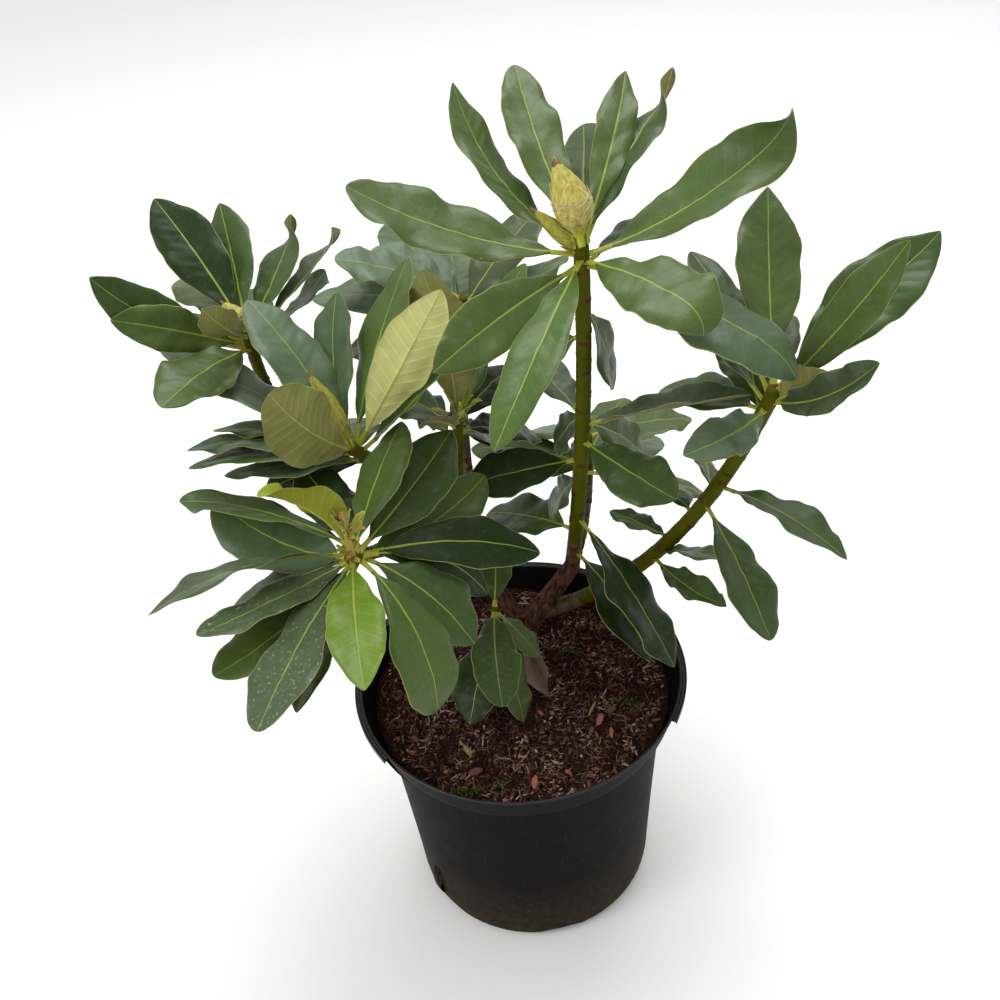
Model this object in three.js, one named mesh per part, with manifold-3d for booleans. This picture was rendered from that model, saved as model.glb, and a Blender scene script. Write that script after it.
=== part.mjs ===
// A young rhododendron in a round nursery pot. Millimetres, +Z up, front of the plant towards -Y.
// The origin is the centre of the pot's flat underside. Azimuths are in degrees, counted from +X
// towards +Y, so 270 is the front. Every limb and leaf is worked out from the sizes below.
import * as THREE from 'three';
import { mergeVertices } from 'three/addons/utils/BufferGeometryUtils.js';
import Module from 'manifold-3d';

const wasm = await Module();
wasm.setup();

// ---------------------------------------------------------------- driving dimensions

const GAP = 0.3;                 // clearance between any two touching pieces
const SEAT_GAP = GAP + 0.1;      // the same on a many-sided limb, whose flats lie inside its radius
const RAD = Math.PI / 180;

const POT = {
  height: 190,
  lipRadius: 111.5,              // outside of the collar at the top edge
  collarHeight: 21,
  collarFootRadius: 105.5,       // outside of the collar at its lower edge
  bodyTopRadius: 98.5,           // outside of the body just under the collar
  baseRadius: 87.5,              // outside of the body just above the corner
  cornerRadius: 9,
  wall: 2,
  floor: 3,
  sides: 40,
};
const FLANGE = { reach: 3, thickness: 2.4, from: -30, to: 216 };
const DRAIN_NOTCH = { count: 6, firstAzimuth: 38.5, width: 30, height: 6, innerRadius: 75 };
const LUG = {                    // the two handles, each a strip under the collar and one at the foot
  azimuths: [34, 214],
  halfWidth: 3,
  halfThickness: 0.8,
  under: { low: 148, high: 186, bow: 1.5 },
  foot: { low: 12, high: 44, bow: 4 },
};

const SOIL_LEVEL = POT.height - 18;
const SOIL_RELIEF = 3;           // depth of the hollows in the soil's surface
const FOOT = new THREE.Vector3(5, 61, SOIL_LEVEL + GAP);

const SLIVER = 0.05;             // edges shorter than this are closed up where leaves are fused
const LIMB_SIDES = 8;
const BUD_SIDES = 8;
const ROOT_FLARE = { swell: 0.7, height: 9 };

const PETIOLE_SHARE = 0.13;      // share of a leaf's length that is stalk
const PETIOLE_HALF_WIDTH = 1.6;
const PETIOLE_HALF_THICKNESS = 1.5;
const BLADE_THICKNESS_SHARE = 0.012;
const BLADE_CUP = 0.1;           // how far the blade's edges stand above its midrib, per half width
const DEFAULT_ARCH = 25;
const CURL_START = 0.72;         // the curl bends the last part of the leaf, from here to its tip
const PATH_STEPS = 48;
const LEAF_STATIONS = [0, 7, 17, 28, 40, 48];
const SPROUT_STATIONS = [0, 12, 32, 48];
const LEAF_SPACING = 1.5;        // distance down the shoot from one leaf of a whorl to the next

// Limbs: each is one quadratic curve (from, bend, to) with a radius at either end.
const LIMB = {
  trunk: { from: [0, 62, 162], bend: [20, 60, 190], to: [46, 65, 226], radii: [7.6, 6] },
  mainStem: { from: [45, 65, 223], bend: [59, 42, 368], to: [55, 20, 494], radii: [5.3, 4.4] },
  rightStem: { from: [12, 62, 183], bend: [122, 60, 206], to: [160, -8, 406], radii: [5.8, 4.6] },
  leftStem: { from: [2, 62, 181], bend: [-40, 88, 270], to: [-89, 20, 376], radii: [5.8, 4.2] },
  farLeftStem: { from: [-20, 70, 226], bend: [-150, 95, 285], to: [-148, 80, 430], radii: [4.6, 3.8] },
  frontStem: { from: [-41, 64, 275], bend: [-78, 10, 300], to: [-88, -58, 354], radii: [4.6, 4] },
  middleStem: { from: [-24, 70, 236], bend: [-33, 76, 290], to: [-24, 60, 360], radii: [4.2, 3.6] },
  backStem: { from: [-16, 70, 216], bend: [-32, 130, 280], to: [-14, 120, 417], radii: [4.2, 3.6] },
  hindStem: { from: [48, 66, 232], bend: [64, 96, 258], to: [62, 92, 318], radii: [4, 3.4] },
  lowShoot: { from: [4, 59, 182], bend: [-10, 36, 196], to: [-13, 20, 232], radii: [3.4, 2.8] },
};

// Each bough runs between two shares of its limb, and grows out of the boughs named here.
const BOUGH = {
  main_stem: { limb: 'mainStem', start: 0.54, end: 0.7 },
  hind_stem: { limb: 'hindStem', start: 0, end: 0.55, on: ['trunk'] },
  right_stem_lower: { limb: 'rightStem', start: 0, end: 0.45, on: ['trunk'] },
  right_stem_upper: { limb: 'rightStem', start: 0.8, end: 0.9 },
  left_stem: { limb: 'leftStem', start: 0, end: 0.88, on: ['trunk'] },
  far_left_stem: { limb: 'farLeftStem', start: 0, end: 0.86, on: ['left_stem'] },
  front_left_stem: { limb: 'frontStem', start: 0, end: 0.8, on: ['left_stem'] },
  middle_stem: { limb: 'middleStem', start: 0, end: 0.8, on: ['left_stem', 'far_left_stem'] },
  back_stem: { limb: 'backStem', start: 0, end: 0.85, on: ['left_stem', 'far_left_stem', 'middle_stem'] },
  low_shoot_stem: { limb: 'lowShoot', start: 0, end: 0.72, on: ['trunk', 'left_stem'] },
};

// ---------------------------------------------------------------- helpers

// Park and Miller's generator: the same seed always gives the same plant.
function seeded(seed) {
  let state = seed;
  return () => {
    state = (state * 16807) % 2147483647;
    return state / 2147483647;
  };
}

function toSolid(geometry) {
  const bare = geometry.clone();
  bare.deleteAttribute('normal');
  bare.deleteAttribute('uv');
  const merged = mergeVertices(bare, 1e-4);
  return new wasm.Manifold(new wasm.Mesh({
    numProp: 3,
    vertProperties: new Float32Array(merged.attributes.position.array),
    triVerts: new Uint32Array(merged.index.array),
  }));
}

function toGeometry(solid) {
  const mesh = solid.getMesh();
  const geometry = new THREE.BufferGeometry();
  geometry.setAttribute('position', new THREE.BufferAttribute(new Float32Array(mesh.vertProperties), 3));
  geometry.setIndex(new THREE.BufferAttribute(new Uint32Array(mesh.triVerts), 1));
  geometry.computeVertexNormals();
  return geometry;
}

// A closed solid from rings of points that all hold the same number of points.
// A ring of one point closes that end to a tip, and any other end is capped flat.
function solidFromRings(rings) {
  const points = rings.flat();
  const starts = [];
  let count = 0;
  for (const ring of rings) {
    starts.push(count);
    count += ring.length;
  }
  const faces = [];
  for (let r = 0; r < rings.length - 1; r += 1) {
    const sides = Math.max(rings[r].length, rings[r + 1].length);
    for (let k = 0; k < sides; k += 1) {
      const next = (k + 1) % sides;
      const a = starts[r] + (rings[r].length > 1 ? k : 0);
      const b = starts[r] + (rings[r].length > 1 ? next : 0);
      const c = starts[r + 1] + (rings[r + 1].length > 1 ? next : 0);
      const d = starts[r + 1] + (rings[r + 1].length > 1 ? k : 0);
      if (a !== b) faces.push(a, b, c);
      if (c !== d) faces.push(a, c, d);
    }
  }
  const end = starts[starts.length - 1];
  for (let k = 1; k < rings[0].length - 1; k += 1) faces.push(0, k + 1, k);
  for (let k = 1; k < rings[rings.length - 1].length - 1; k += 1) faces.push(end, end + k, end + k + 1);
  const geometry = new THREE.BufferGeometry();
  const numbers = points.flatMap((p) => [p.x, p.y, p.z]);
  geometry.setAttribute('position', new THREE.Float32BufferAttribute(numbers, 3));
  geometry.setIndex(faces);
  return toSolid(geometry);
}

function joined(solids) {
  return solids.reduce((whole, solid) => whole.add(solid));
}

function atAzimuth(azimuth, radius, z) {
  return new THREE.Vector3(radius * Math.cos(azimuth * RAD), radius * Math.sin(azimuth * RAD), z);
}

// Points evenly round a circle that lies across the directions u and v.
function circleOf(sides, centre, u, v, radius) {
  return Array.from({ length: sides }, (_, k) => {
    const angle = 2 * Math.PI * k / sides;
    const offset = u.clone().multiplyScalar(Math.cos(angle)).addScaledVector(v, Math.sin(angle));
    return centre.clone().addScaledVector(offset, radius);
  });
}

// The unit direction of an azimuth and a rise above the horizontal.
function aimed(azimuth, rise) {
  const az = azimuth * RAD;
  const tilt = rise * RAD;
  return new THREE.Vector3(Math.cos(az) * Math.cos(tilt), Math.sin(az) * Math.cos(tilt), Math.sin(tilt));
}

// ---------------------------------------------------------------- limbs

function limbPoint(limb, t) {
  const [a, b, c] = [limb.from, limb.bend, limb.to].map((p) => new THREE.Vector3(...p));
  return a.multiplyScalar((1 - t) ** 2).addScaledVector(b, 2 * t * (1 - t)).addScaledVector(c, t * t);
}

function limbDirection(limb, t) {
  const step = 0.01;
  return limbPoint(limb, Math.min(1, t + step)).sub(limbPoint(limb, Math.max(0, t - step))).normalize();
}

function limbRadius(limb, t) {
  return limb.radii[0] + (limb.radii[1] - limb.radii[0]) * t;
}

function limbLength(limb) {
  let length = 0;
  for (let k = 0; k < PATH_STEPS; k += 1) {
    length += limbPoint(limb, k / PATH_STEPS).distanceTo(limbPoint(limb, (k + 1) / PATH_STEPS));
  }
  return length;
}

// A tapering tube along the stretch of a limb between two of its shares, widened by `extra`.
function limbTube(limb, start, end, { extra = 0, rings = 7, swell = () => 1 } = {}) {
  const across = new THREE.Vector3(0.31, 1, 0.17);
  const list = [];
  for (let k = 0; k <= rings; k += 1) {
    const t = start + (end - start) * k / rings;
    const centre = limbPoint(limb, t);
    const along = limbDirection(limb, t);
    const u = new THREE.Vector3().crossVectors(across, along).normalize();
    const v = new THREE.Vector3().crossVectors(along, u);
    const radius = limbRadius(limb, t) * swell(centre) + extra;
    list.push(circleOf(LIMB_SIDES, centre, u, v, radius));
  }
  return solidFromRings(list);
}

// ---------------------------------------------------------------- leaves

// Half of a blade's width at the share b of its length, as a share of its widest half.
function bladeOutline(b) {
  return Math.sin(Math.PI * Math.min(1, Math.max(0, b)) ** 1.2) ** 0.7;
}

// The line that a leaf's midrib follows, with the blade's side and upper face at each step.
// azimuth and rise aim the chord, arch bends it evenly over its length, curl bends its last part
// down, sweep bends it sideways, and roll turns the blade about its midrib.
function leafPath(leaf) {
  const chord = aimed(leaf.azimuth, leaf.rise);
  const up = aimed(leaf.azimuth, leaf.rise + 90);
  const side = new THREE.Vector3().crossVectors(chord, up);
  const heading = (s) => {
    const late = Math.max(0, (s - CURL_START) / (1 - CURL_START));
    const pitch = (leaf.arch * (0.5 - s) - leaf.curl * late * late) * RAD;
    const yaw = leaf.sweep * (s - 0.5) * RAD;
    return chord.clone().multiplyScalar(Math.cos(pitch) * Math.cos(yaw))
      .addScaledVector(up, Math.sin(pitch))
      .addScaledVector(side, Math.cos(pitch) * Math.sin(yaw))
      .normalize();
  };
  const path = [];
  const point = leaf.root.clone();
  for (let k = 0; k <= PATH_STEPS; k += 1) {
    const s = k / PATH_STEPS;
    if (k > 0) point.addScaledVector(heading(s - 0.5 / PATH_STEPS), leaf.length / PATH_STEPS);
    const along = heading(s);
    const flat = side.clone().addScaledVector(along, -side.dot(along)).normalize();
    const top = new THREE.Vector3().crossVectors(flat, along);
    const turn = leaf.roll * RAD;
    path.push({
      s,
      point: point.clone(),
      side: flat.clone().multiplyScalar(Math.cos(turn)).addScaledVector(top, Math.sin(turn)),
      top: top.clone().multiplyScalar(Math.cos(turn)).addScaledVector(flat, -Math.sin(turn)),
    });
  }
  return path;
}

// A leaf as a closed lens of four points at each station: edge, upper face, edge, under face.
function leafSolid(leaf, stations = LEAF_STATIONS) {
  const path = leafPath(leaf);
  const bladeHalfThickness = Math.max(0.7, leaf.length * BLADE_THICKNESS_SHARE / 2);
  const rings = stations.map((k) => {
    const { s, point, side, top } = path[k];
    if (s === 1) return [point];
    const b = (s - PETIOLE_SHARE) / (1 - PETIOLE_SHARE);
    const half = Math.max(PETIOLE_HALF_WIDTH, b > 0 ? leaf.width / 2 * bladeOutline(b) : 0);
    const thick = b > 0 ? bladeHalfThickness : PETIOLE_HALF_THICKNESS;
    const lift = b > 0 ? BLADE_CUP * half : 0;
    return [
      point.clone().addScaledVector(side, -half).addScaledVector(top, lift),
      point.clone().addScaledVector(top, thick),
      point.clone().addScaledVector(side, half).addScaledVector(top, lift),
      point.clone().addScaledVector(top, -thick),
    ];
  });
  return solidFromRings(rings);
}

// A bud as a closed spindle: `length` along its axis, widest at `belly` of it.
function budSolid({ root, azimuth, rise, length, width, belly = 0.4 }) {
  const along = aimed(azimuth, rise);
  const u = aimed(azimuth + 90, 0);
  const v = new THREE.Vector3().crossVectors(along, u);
  const rings = [];
  for (const s of [0, 0.2, 0.4, 0.62, 0.82]) {
    const share = s < belly ? 0.5 * s / belly : 0.5 + 0.5 * (s - belly) / (1 - belly);
    const radius = Math.max(width / 5, width / 2 * Math.sin(Math.PI * share) ** 0.8);
    const centre = root.clone().addScaledVector(along, length * s);
    rings.push(circleOf(BUD_SIDES, centre, u, v, radius));
  }
  rings.push([root.clone().addScaledVector(along, length)]);
  return solidFromRings(rings);
}

// ---------------------------------------------------------------- masses of leaves
//
// A mass is the leafy end, or a leafy stretch, of one limb: `limb` from the share `start` to
// `end`. Its rows are its leaves, from the tip of the stretch down: [azimuth, rise, length,
// width, roll, more]. A row's `down` is its distance below the end of the stretch; where it isn't
// given, the leaves of a whorl follow each other at LEAF_SPACING. `dealt` adds leaves by the
// seeded rule on the sides that the rows leave open.

const MASS = {
  top_whorl: {
    limb: 'mainStem', start: 0.7, end: 1, seed: 11,
    rows: [
      [82, 15, 110, 38, 20],
      [103, 32, 128, 32, -5, { arch: 15, sweep: 15 }],
      [69, 28, 128, 24, -25, { arch: 20, sweep: -15 }],
      [126, 34, 128, 30, -15, { arch: -30, sweep: 30 }],
      [55, 24, 134, 30, 10, { curl: -60 }],
      [178, 22, 132, 44, 20, { arch: -25, sweep: 5 }],
      [7, 27, 136, 44, -15, { arch: -30, curl: -30, sweep: -5 }],
      [246, -13, 148, 28, -5, { arch: 40, sweep: 15 }],
      [305, 0, 100, 44, -15, { curl: 90 }],
      [326, -16, 136, 44, -10, { curl: 40 }],
      [216, -12, 108, 34, 50, { arch: 15 }],
      [40, 3, 95, 38, 15],
      [33, -72, 70, 34, -55, { down: 44 }],
      [145, -48, 58, 34, 40, { down: 66 }],
    ],
    dealt: { count: 3, azimuths: [60, 170], rises: [-30, -5], lengths: [95, 120], width: 40 },
    buds: [
      { down: 1, azimuth: 170, rise: 75, length: 50, width: 21 },
      { down: 9, azimuth: 190, rise: 50, length: 42, width: 12 },
    ],
  },
  main_stem_leaves: {
    limb: 'mainStem', start: 0, end: 0.54, on: ['trunk', 'hind_stem'], seed: 23,
    rows: [
      [131, -55, 48, 28, 55, { down: 5 }],
      [122, 15, 76, 40, -15, { down: 9 }],
      [35, -44, 75, 40, -45, { down: 12 }],
      [340, 18, 108, 36, 10, { down: 14, arch: 10, sweep: -10 }],
      [302, 2, 88, 36, -20, { down: 27, arch: 10, sweep: -15 }],
      [181, -8, 76, 44, 10, { down: 44, arch: 5 }],
      [4, -21, 92, 36, 10, { down: 56 }],
      [144, -58, 50, 30, 35, { down: 60 }],
      [300, -31, 122, 44, 25, { down: 97 }],
      [138, -14, 85, 44, 10, { down: 111 }],
      [298, -22, 98, 44, 15, { down: 131, arch: 30, sweep: 10 }],
    ],
    dealt: { count: 3, azimuths: [40, 150], rises: [-20, 0], lengths: [70, 90], width: 38 },
  },
  hind_leaves: {
    limb: 'hindStem', start: 0.55, end: 1, seed: 31,
    rows: [
      [15, -5, 80, 38, 0],
    ],
    dealt: { count: 6, azimuths: [20, 180], rises: [-25, 10], lengths: [70, 95], width: 38 },
  },
  right_whorl: {
    limb: 'rightStem', start: 0.9, end: 1, seed: 47,
    rows: [
      [82, 43, 124, 42, -15, { arch: 10, sweep: 5 }],
      [25, 29, 132, 44, -25, { arch: 10, curl: -20, sweep: 5 }],
      [336, 59, 118, 28, -60, { arch: -10, sweep: -5 }],
      [107, 27, 112, 32, -10],
      [298, 39, 96, 24, -70, { arch: -35, sweep: -15 }],
      [299, 37, 62, 28, 85, { arch: 10 }],
      [119, 26, 120, 36, -30, { arch: 10 }],
      [230, 15, 102, 26, 30, { arch: 5, sweep: 25 }],
      [126, -14, 84, 44, 5, { arch: 15 }],
    ],
    dealt: { count: 2, azimuths: [70, 125], rises: [-15, 10], lengths: [80, 95], width: 40 },
  },
  right_stem_leaves: {
    limb: 'rightStem', start: 0.45, end: 0.8, seed: 53,
    rows: [
      [313, -7, 96, 34, 10, { down: 14, arch: 40 }],
      [85, 2, 42, 26, -45, { down: 20 }],
      [287, -28, 100, 40, 20, { down: 30, sweep: 0 }],
      [105, -11, 64, 34, -15, { down: 44 }],
      [130, -5, 56, 24, -10, { down: 72, arch: 0 }],
      [312, 22, 56, 26, 15, { down: 90 }],
      [294, 12, 86, 24, -10, { down: 96, arch: -15, sweep: -15 }],
    ],
    dealt: { count: 3, azimuths: [70, 150], rises: [-20, 10], lengths: [65, 85], width: 36 },
  },
  far_left_whorl: {
    limb: 'farLeftStem', start: 0.86, end: 1, seed: 61,
    rows: [
      [102, 30, 100, 30, 20, { arch: 10 }],
      [128, 36, 110, 38, 15, { arch: 20, sweep: 0 }],
      [72, 21, 98, 30, 10, { arch: 5, curl: -60, sweep: -10 }],
      [263, 41, 80, 24, -35, { arch: -20 }],
      [62, 11, 120, 24, 20, { arch: 15, sweep: -25 }],
      [207, 41, 108, 32, 60, { arch: -40, sweep: -10 }],
      [64, 3, 96, 20, 20, { arch: -5, sweep: -20 }],
      [214, 32, 92, 28, 70, { arch: 5, sweep: -5 }],
      [245, 8, 92, 42, 15],
    ],
    dealt: { count: 3, azimuths: [80, 160], rises: [-12, 12], lengths: [80, 100], width: 38 },
    buds: [
      { down: 1, azimuth: 170, rise: 60, length: 24, width: 12 },
      { down: 13, azimuth: 175, rise: 25, length: 34, width: 9 },
    ],
  },
  left_whorl: {
    limb: 'leftStem', start: 0.88, end: 1, seed: 71,
    rows: [
      [92, 40, 102, 32, 30, { arch: 15, sweep: 25 }],
      [134, 44, 112, 42, -10, { arch: 35 }],
      [60, 45, 124, 44, 25],
      [0, 58, 120, 38, 85, { arch: -5, sweep: 10 }],
      [222, 53, 84, 46, -95, { arch: -30, sweep: 10 }],
      [160, 28, 138, 40, -10, { arch: 15, sweep: 5 }],
      [9, 40, 108, 36, 5, { arch: 5, sweep: -15 }],
      [172, 12, 94, 28, -15, { arch: 35 }],
      [165, -2, 110, 34, -25],
      [186, 13, 108, 36, -15, { arch: 40, sweep: -5 }],
      [193, 11, 108, 36, -15, { arch: 35, sweep: -5 }],
      [196, 9, 88, 34, -10, { down: 18, arch: 15 }],
      [185, -10, 72, 34, 10, { down: 22, arch: 40 }],
    ],
    dealt: { count: 3, azimuths: [80, 175], rises: [-35, -12], lengths: [75, 100], width: 38 },
    buds: [{ down: 1, azimuth: 160, rise: 70, length: 56, width: 12 }],
  },
  front_left_whorl: {
    limb: 'frontStem', start: 0.8, end: 1, seed: 83,
    rows: [
      [180, 49, 70, 38, -60, { arch: 70 }],
      [70, 20, 96, 36, 20, { arch: 15 }],
      [276, 1, 106, 32, 5, { sweep: -5 }],
      [59, 7, 116, 40, -25, { arch: 0, sweep: -10 }],
      [49, -8, 120, 36, -40, { arch: -30, sweep: -10 }],
      [143, 0, 116, 44, 15, { arch: -45, sweep: 10 }],
      [301, -41, 108, 42, 15, { arch: 55, curl: 40, sweep: 30 }],
      [221, -10, 104, 40, 0, { arch: -20, sweep: 10 }],
      [248, -5, 126, 40, -15],
      [332, -34, 86, 44, -5, { arch: 40, sweep: 15 }],
      [218, 5, 104, 38, -15, { arch: -5 }],
      [200, 3, 124, 40, -30, { arch: 35, sweep: -25 }],
      [24, -41, 108, 30, -50, { down: 9, arch: 60, sweep: 0 }],
      [253, -8, 110, 34, -30],
      [157, 7, 130, 28, -20, { down: 29, arch: 45, sweep: 5 }],
      [110, -2, 84, 28, -30, { arch: 15 }],
      [10, -14, 112, 34, -25, { down: 16, arch: 40 }],
      [120, 15, 80, 34, 0, { down: 24 }],
    ],
    dealt: { count: 3, azimuths: [80, 200], rises: [-35, -12], lengths: [80, 100], width: 40 },
    sprouts: { count: 7, length: 27, width: 6, rises: [35, 75] },
  },
  middle_whorl: {
    limb: 'middleStem', start: 0.8, end: 1, seed: 97,
    rows: [
      [155, 84, 108, 48, -85, { arch: 15 }],
      [61, -3, 85, 42, -5],
      [49, 45, 115, 42, 25],
      [240, 38, 46, 26, -30],
      [37, -28, 80, 38, -10, { curl: 50 }],
      [58, -42, 70, 34, -30],
    ],
    dealt: { count: 4, azimuths: [60, 190], rises: [-10, 40], lengths: [85, 110], width: 40 },
    buds: [{ down: 1, azimuth: 110, rise: 75, length: 20, width: 9 }],
  },
  back_whorl: {
    limb: 'backStem', start: 0.85, end: 1, seed: 101,
    rows: [
      [187, 28, 88, 38, 15],
      [162, 31, 68, 38, 10],
      [188, 12, 98, 38, 10],
    ],
    dealt: { count: 8, azimuths: [10, 200], rises: [-25, 30], lengths: [85, 110], width: 42 },
  },
  low_whorl: {
    limb: 'lowShoot', start: 0.72, end: 1, seed: 113,
    rows: [
      [82, 35, 46, 24, 10],
      [270, -5, 84, 32, 5, { arch: 40, sweep: -10 }],
      [319, -34, 44, 28, 25],
      [249, -32, 80, 38, -10, { arch: 35 }],
      [280, -30, 80, 28, 40, { arch: 50 }],
    ],
  },
};

function alongLimb(limb, end, down) {
  return limbPoint(limb, end - down / limbLength(limb));
}

function rowLeaf(mass, row, index, random) {
  const [azimuth, rise, length, width, roll, more = {}] = row;
  return {
    arch: DEFAULT_ARCH,
    curl: 0,
    sweep: (random() - 0.5) * 8,
    ...more,
    azimuth,
    rise,
    length,
    width,
    roll,
    root: alongLimb(LIMB[mass.limb], mass.end, more.down ?? 1 + index * LEAF_SPACING),
  };
}

const CHECK_STEPS = [20, 27, 34, 41, 48];
const LEAF_CLEARANCE = 18;
const LIMB_CLEARANCE = 22;
const MOST_ATTEMPTS = 60;

function pointsAlong(limb) {
  const steps = 24;
  return Array.from({ length: steps + 1 }, (_, k) => limbPoint(limb, k / steps));
}

function checkPoints(leaf) {
  const path = leafPath(leaf);
  return CHECK_STEPS.map((k) => path[k].point);
}

// A dealt leaf is skipped where it would leave its own mass's space or touch a leaf or a limb.
function hasRoom(leaf, hub, otherHubs, leafPoints, limbPoints) {
  const points = checkPoints(leaf);
  const tip = points[points.length - 1];
  const own = tip.distanceTo(hub);
  if (otherHubs.some((other) => other.distanceTo(tip) < own)) return false;
  const near = (list, clearance) => points.some((p) => list.some((q) => q.distanceTo(p) < clearance));
  return !near(leafPoints, LEAF_CLEARANCE) && !near(limbPoints, LIMB_CLEARANCE);
}

// A row drawn by the seeded rule, anywhere along the mass's stretch of limb.
function dealtRow(mass, random) {
  const between = ([low, high]) => low + (high - low) * random();
  const { azimuths, rises, lengths, width } = mass.dealt;
  const stretch = limbLength(LIMB[mass.limb]) * (mass.end - mass.start);
  const down = 4 + random() * (stretch - 12);
  return [between(azimuths), between(rises), between(lengths), width, between([-15, 15]), { down }];
}

function leavesOfAllMasses() {
  const names = Object.keys(MASS);
  const hubs = names.map((name) => limbPoint(LIMB[MASS[name].limb], MASS[name].end));
  const leaves = Object.fromEntries(names.map((name) => {
    const random = seeded(MASS[name].seed);
    return [name, MASS[name].rows.map((row, index) => rowLeaf(MASS[name], row, index, random))];
  }));
  const leafPoints = Object.values(leaves).flat().flatMap(checkPoints);
  const limbPoints = Object.values(LIMB).flatMap(pointsAlong);
  names.forEach((name, which) => {
    const mass = MASS[name];
    if (!mass.dealt) return;
    const random = seeded(mass.seed + 1000);
    const otherHubs = hubs.filter((_, other) => other !== which);
    let placed = 0;
    for (let attempt = 0; attempt < MOST_ATTEMPTS && placed < mass.dealt.count; attempt += 1) {
      const leaf = rowLeaf(mass, dealtRow(mass, random), 0, random);
      if (hasRoom(leaf, hubs[which], otherHubs, leafPoints, limbPoints)) {
        leaves[name].push(leaf);
        leafPoints.push(...checkPoints(leaf));
        placed += 1;
      }
    }
  });
  return leaves;
}

// ---------------------------------------------------------------- pot and soil

function latheSolid(profile, sides) {
  return toSolid(new THREE.LatheGeometry(profile.map(([r, z]) => new THREE.Vector2(r, z)), sides)
    .rotateX(Math.PI / 2));
}

const COLLAR_FOOT = POT.height - POT.collarHeight;

// The body widens a little faster towards the top.
function potBodyRadius(z) {
  return POT.baseRadius + (POT.bodyTopRadius - POT.baseRadius) * (z / COLLAR_FOOT) ** 1.2;
}

function potSolid() {
  const corner = [0, 30, 60, 90].map((turn) => [
    POT.baseRadius - POT.cornerRadius * (1 - Math.sin(turn * RAD)),
    POT.cornerRadius * (1 - Math.cos(turn * RAD)),
  ]);
  const body = [60, 115, COLLAR_FOOT].map((z) => [potBodyRadius(z), z]);
  const outside = [
    [0, 0],
    ...corner,
    ...body,
    [POT.collarFootRadius, COLLAR_FOOT + 1],
    [POT.lipRadius, POT.height],
  ];
  const shell = latheSolid([...outside, ...potInside().reverse()], POT.sides);
  const parts = [shell, flangeSolid()];
  for (const azimuth of LUG.azimuths) {
    parts.push(
      lugSolid(azimuth, LUG.under, POT.lipRadius - 0.5),
      lugSolid(azimuth, LUG.foot, potBodyRadius(LUG.foot.high) - 1),
    );
  }
  const notches = [];
  for (let k = 0; k < DRAIN_NOTCH.count; k += 1) {
    notches.push(notchSolid(DRAIN_NOTCH.firstAzimuth + 360 * k / DRAIN_NOTCH.count));
  }
  return joined(parts).subtract(joined(notches));
}

// The pot's inner wall from the middle of its floor to the lip.
function potInside() {
  return [
    [0, POT.floor],
    [64, POT.floor],
    [potBodyRadius(18) - POT.wall, 18],
    [potBodyRadius(60) - POT.wall, 60],
    [potBodyRadius(115) - POT.wall, 115],
    [potBodyRadius(COLLAR_FOOT) - POT.wall, COLLAR_FOOT + 1],
    [POT.collarFootRadius - POT.wall, COLLAR_FOOT + 2],
    [POT.lipRadius - POT.wall, POT.height],
  ];
}

// The flat flange round the back and the sides of the lip, with a low ridge at its outer edge.
function flangeSolid() {
  const inner = POT.lipRadius - 1;
  const outer = POT.lipRadius + FLANGE.reach;
  const top = POT.height;
  const section = [[inner, top - FLANGE.thickness], [outer, top - FLANGE.thickness - 1.5],
    [outer, top], [inner, top]];
  const steps = Math.round((FLANGE.to - FLANGE.from) * POT.sides / 360);
  const rings = [];
  for (let k = 0; k <= steps; k += 1) {
    const azimuth = FLANGE.from + (FLANGE.to - FLANGE.from) * k / steps;
    rings.push(section.map(([r, z]) => atAzimuth(azimuth, r, z)));
  }
  return solidFromRings(rings.map((ring) => ring.reverse()));
}

// A bowed strip that leaves the body at `low` and meets the radius `topRadius` at `high`.
function lugSolid(azimuth, { low, high, bow }, topRadius) {
  const outward = atAzimuth(azimuth, 1, 0);
  const across = atAzimuth(azimuth + 90, LUG.halfWidth, 0);
  const footRadius = potBodyRadius(low) - 1;
  const steps = 6;
  const rings = [];
  for (let k = 0; k <= steps; k += 1) {
    const share = k / steps;
    const z = low + (high - low) * share;
    const radius = footRadius + (topRadius - footRadius) * share + bow * Math.sin(Math.PI * share) ** 0.6;
    const inner = outward.clone().multiplyScalar(radius - LUG.halfThickness);
    const outer = outward.clone().multiplyScalar(radius + LUG.halfThickness);
    rings.push([
      inner.clone().sub(across).setZ(z),
      outer.clone().sub(across).setZ(z),
      outer.clone().add(across).setZ(z),
      inner.clone().add(across).setZ(z),
    ]);
  }
  return solidFromRings(rings);
}

// One of the arches in the pot's foot that let water out.
function notchSolid(azimuth) {
  const depth = POT.baseRadius + 10 - DRAIN_NOTCH.innerRadius;
  const shape = new THREE.Shape();
  const half = DRAIN_NOTCH.width / 2;
  shape.moveTo(-half, -2);
  shape.lineTo(half, -2);
  shape.lineTo(half - 3, DRAIN_NOTCH.height - 1.5);
  shape.lineTo(half - 6, DRAIN_NOTCH.height);
  shape.lineTo(6 - half, DRAIN_NOTCH.height);
  shape.lineTo(3 - half, DRAIN_NOTCH.height - 1.5);
  shape.closePath();
  const block = new THREE.ExtrudeGeometry(shape, { depth, bevelEnabled: false });
  block.rotateX(Math.PI / 2).translate(0, -DRAIN_NOTCH.innerRadius, 0);
  block.rotateZ((azimuth + 90) * RAD);
  return toSolid(block);
}

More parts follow.
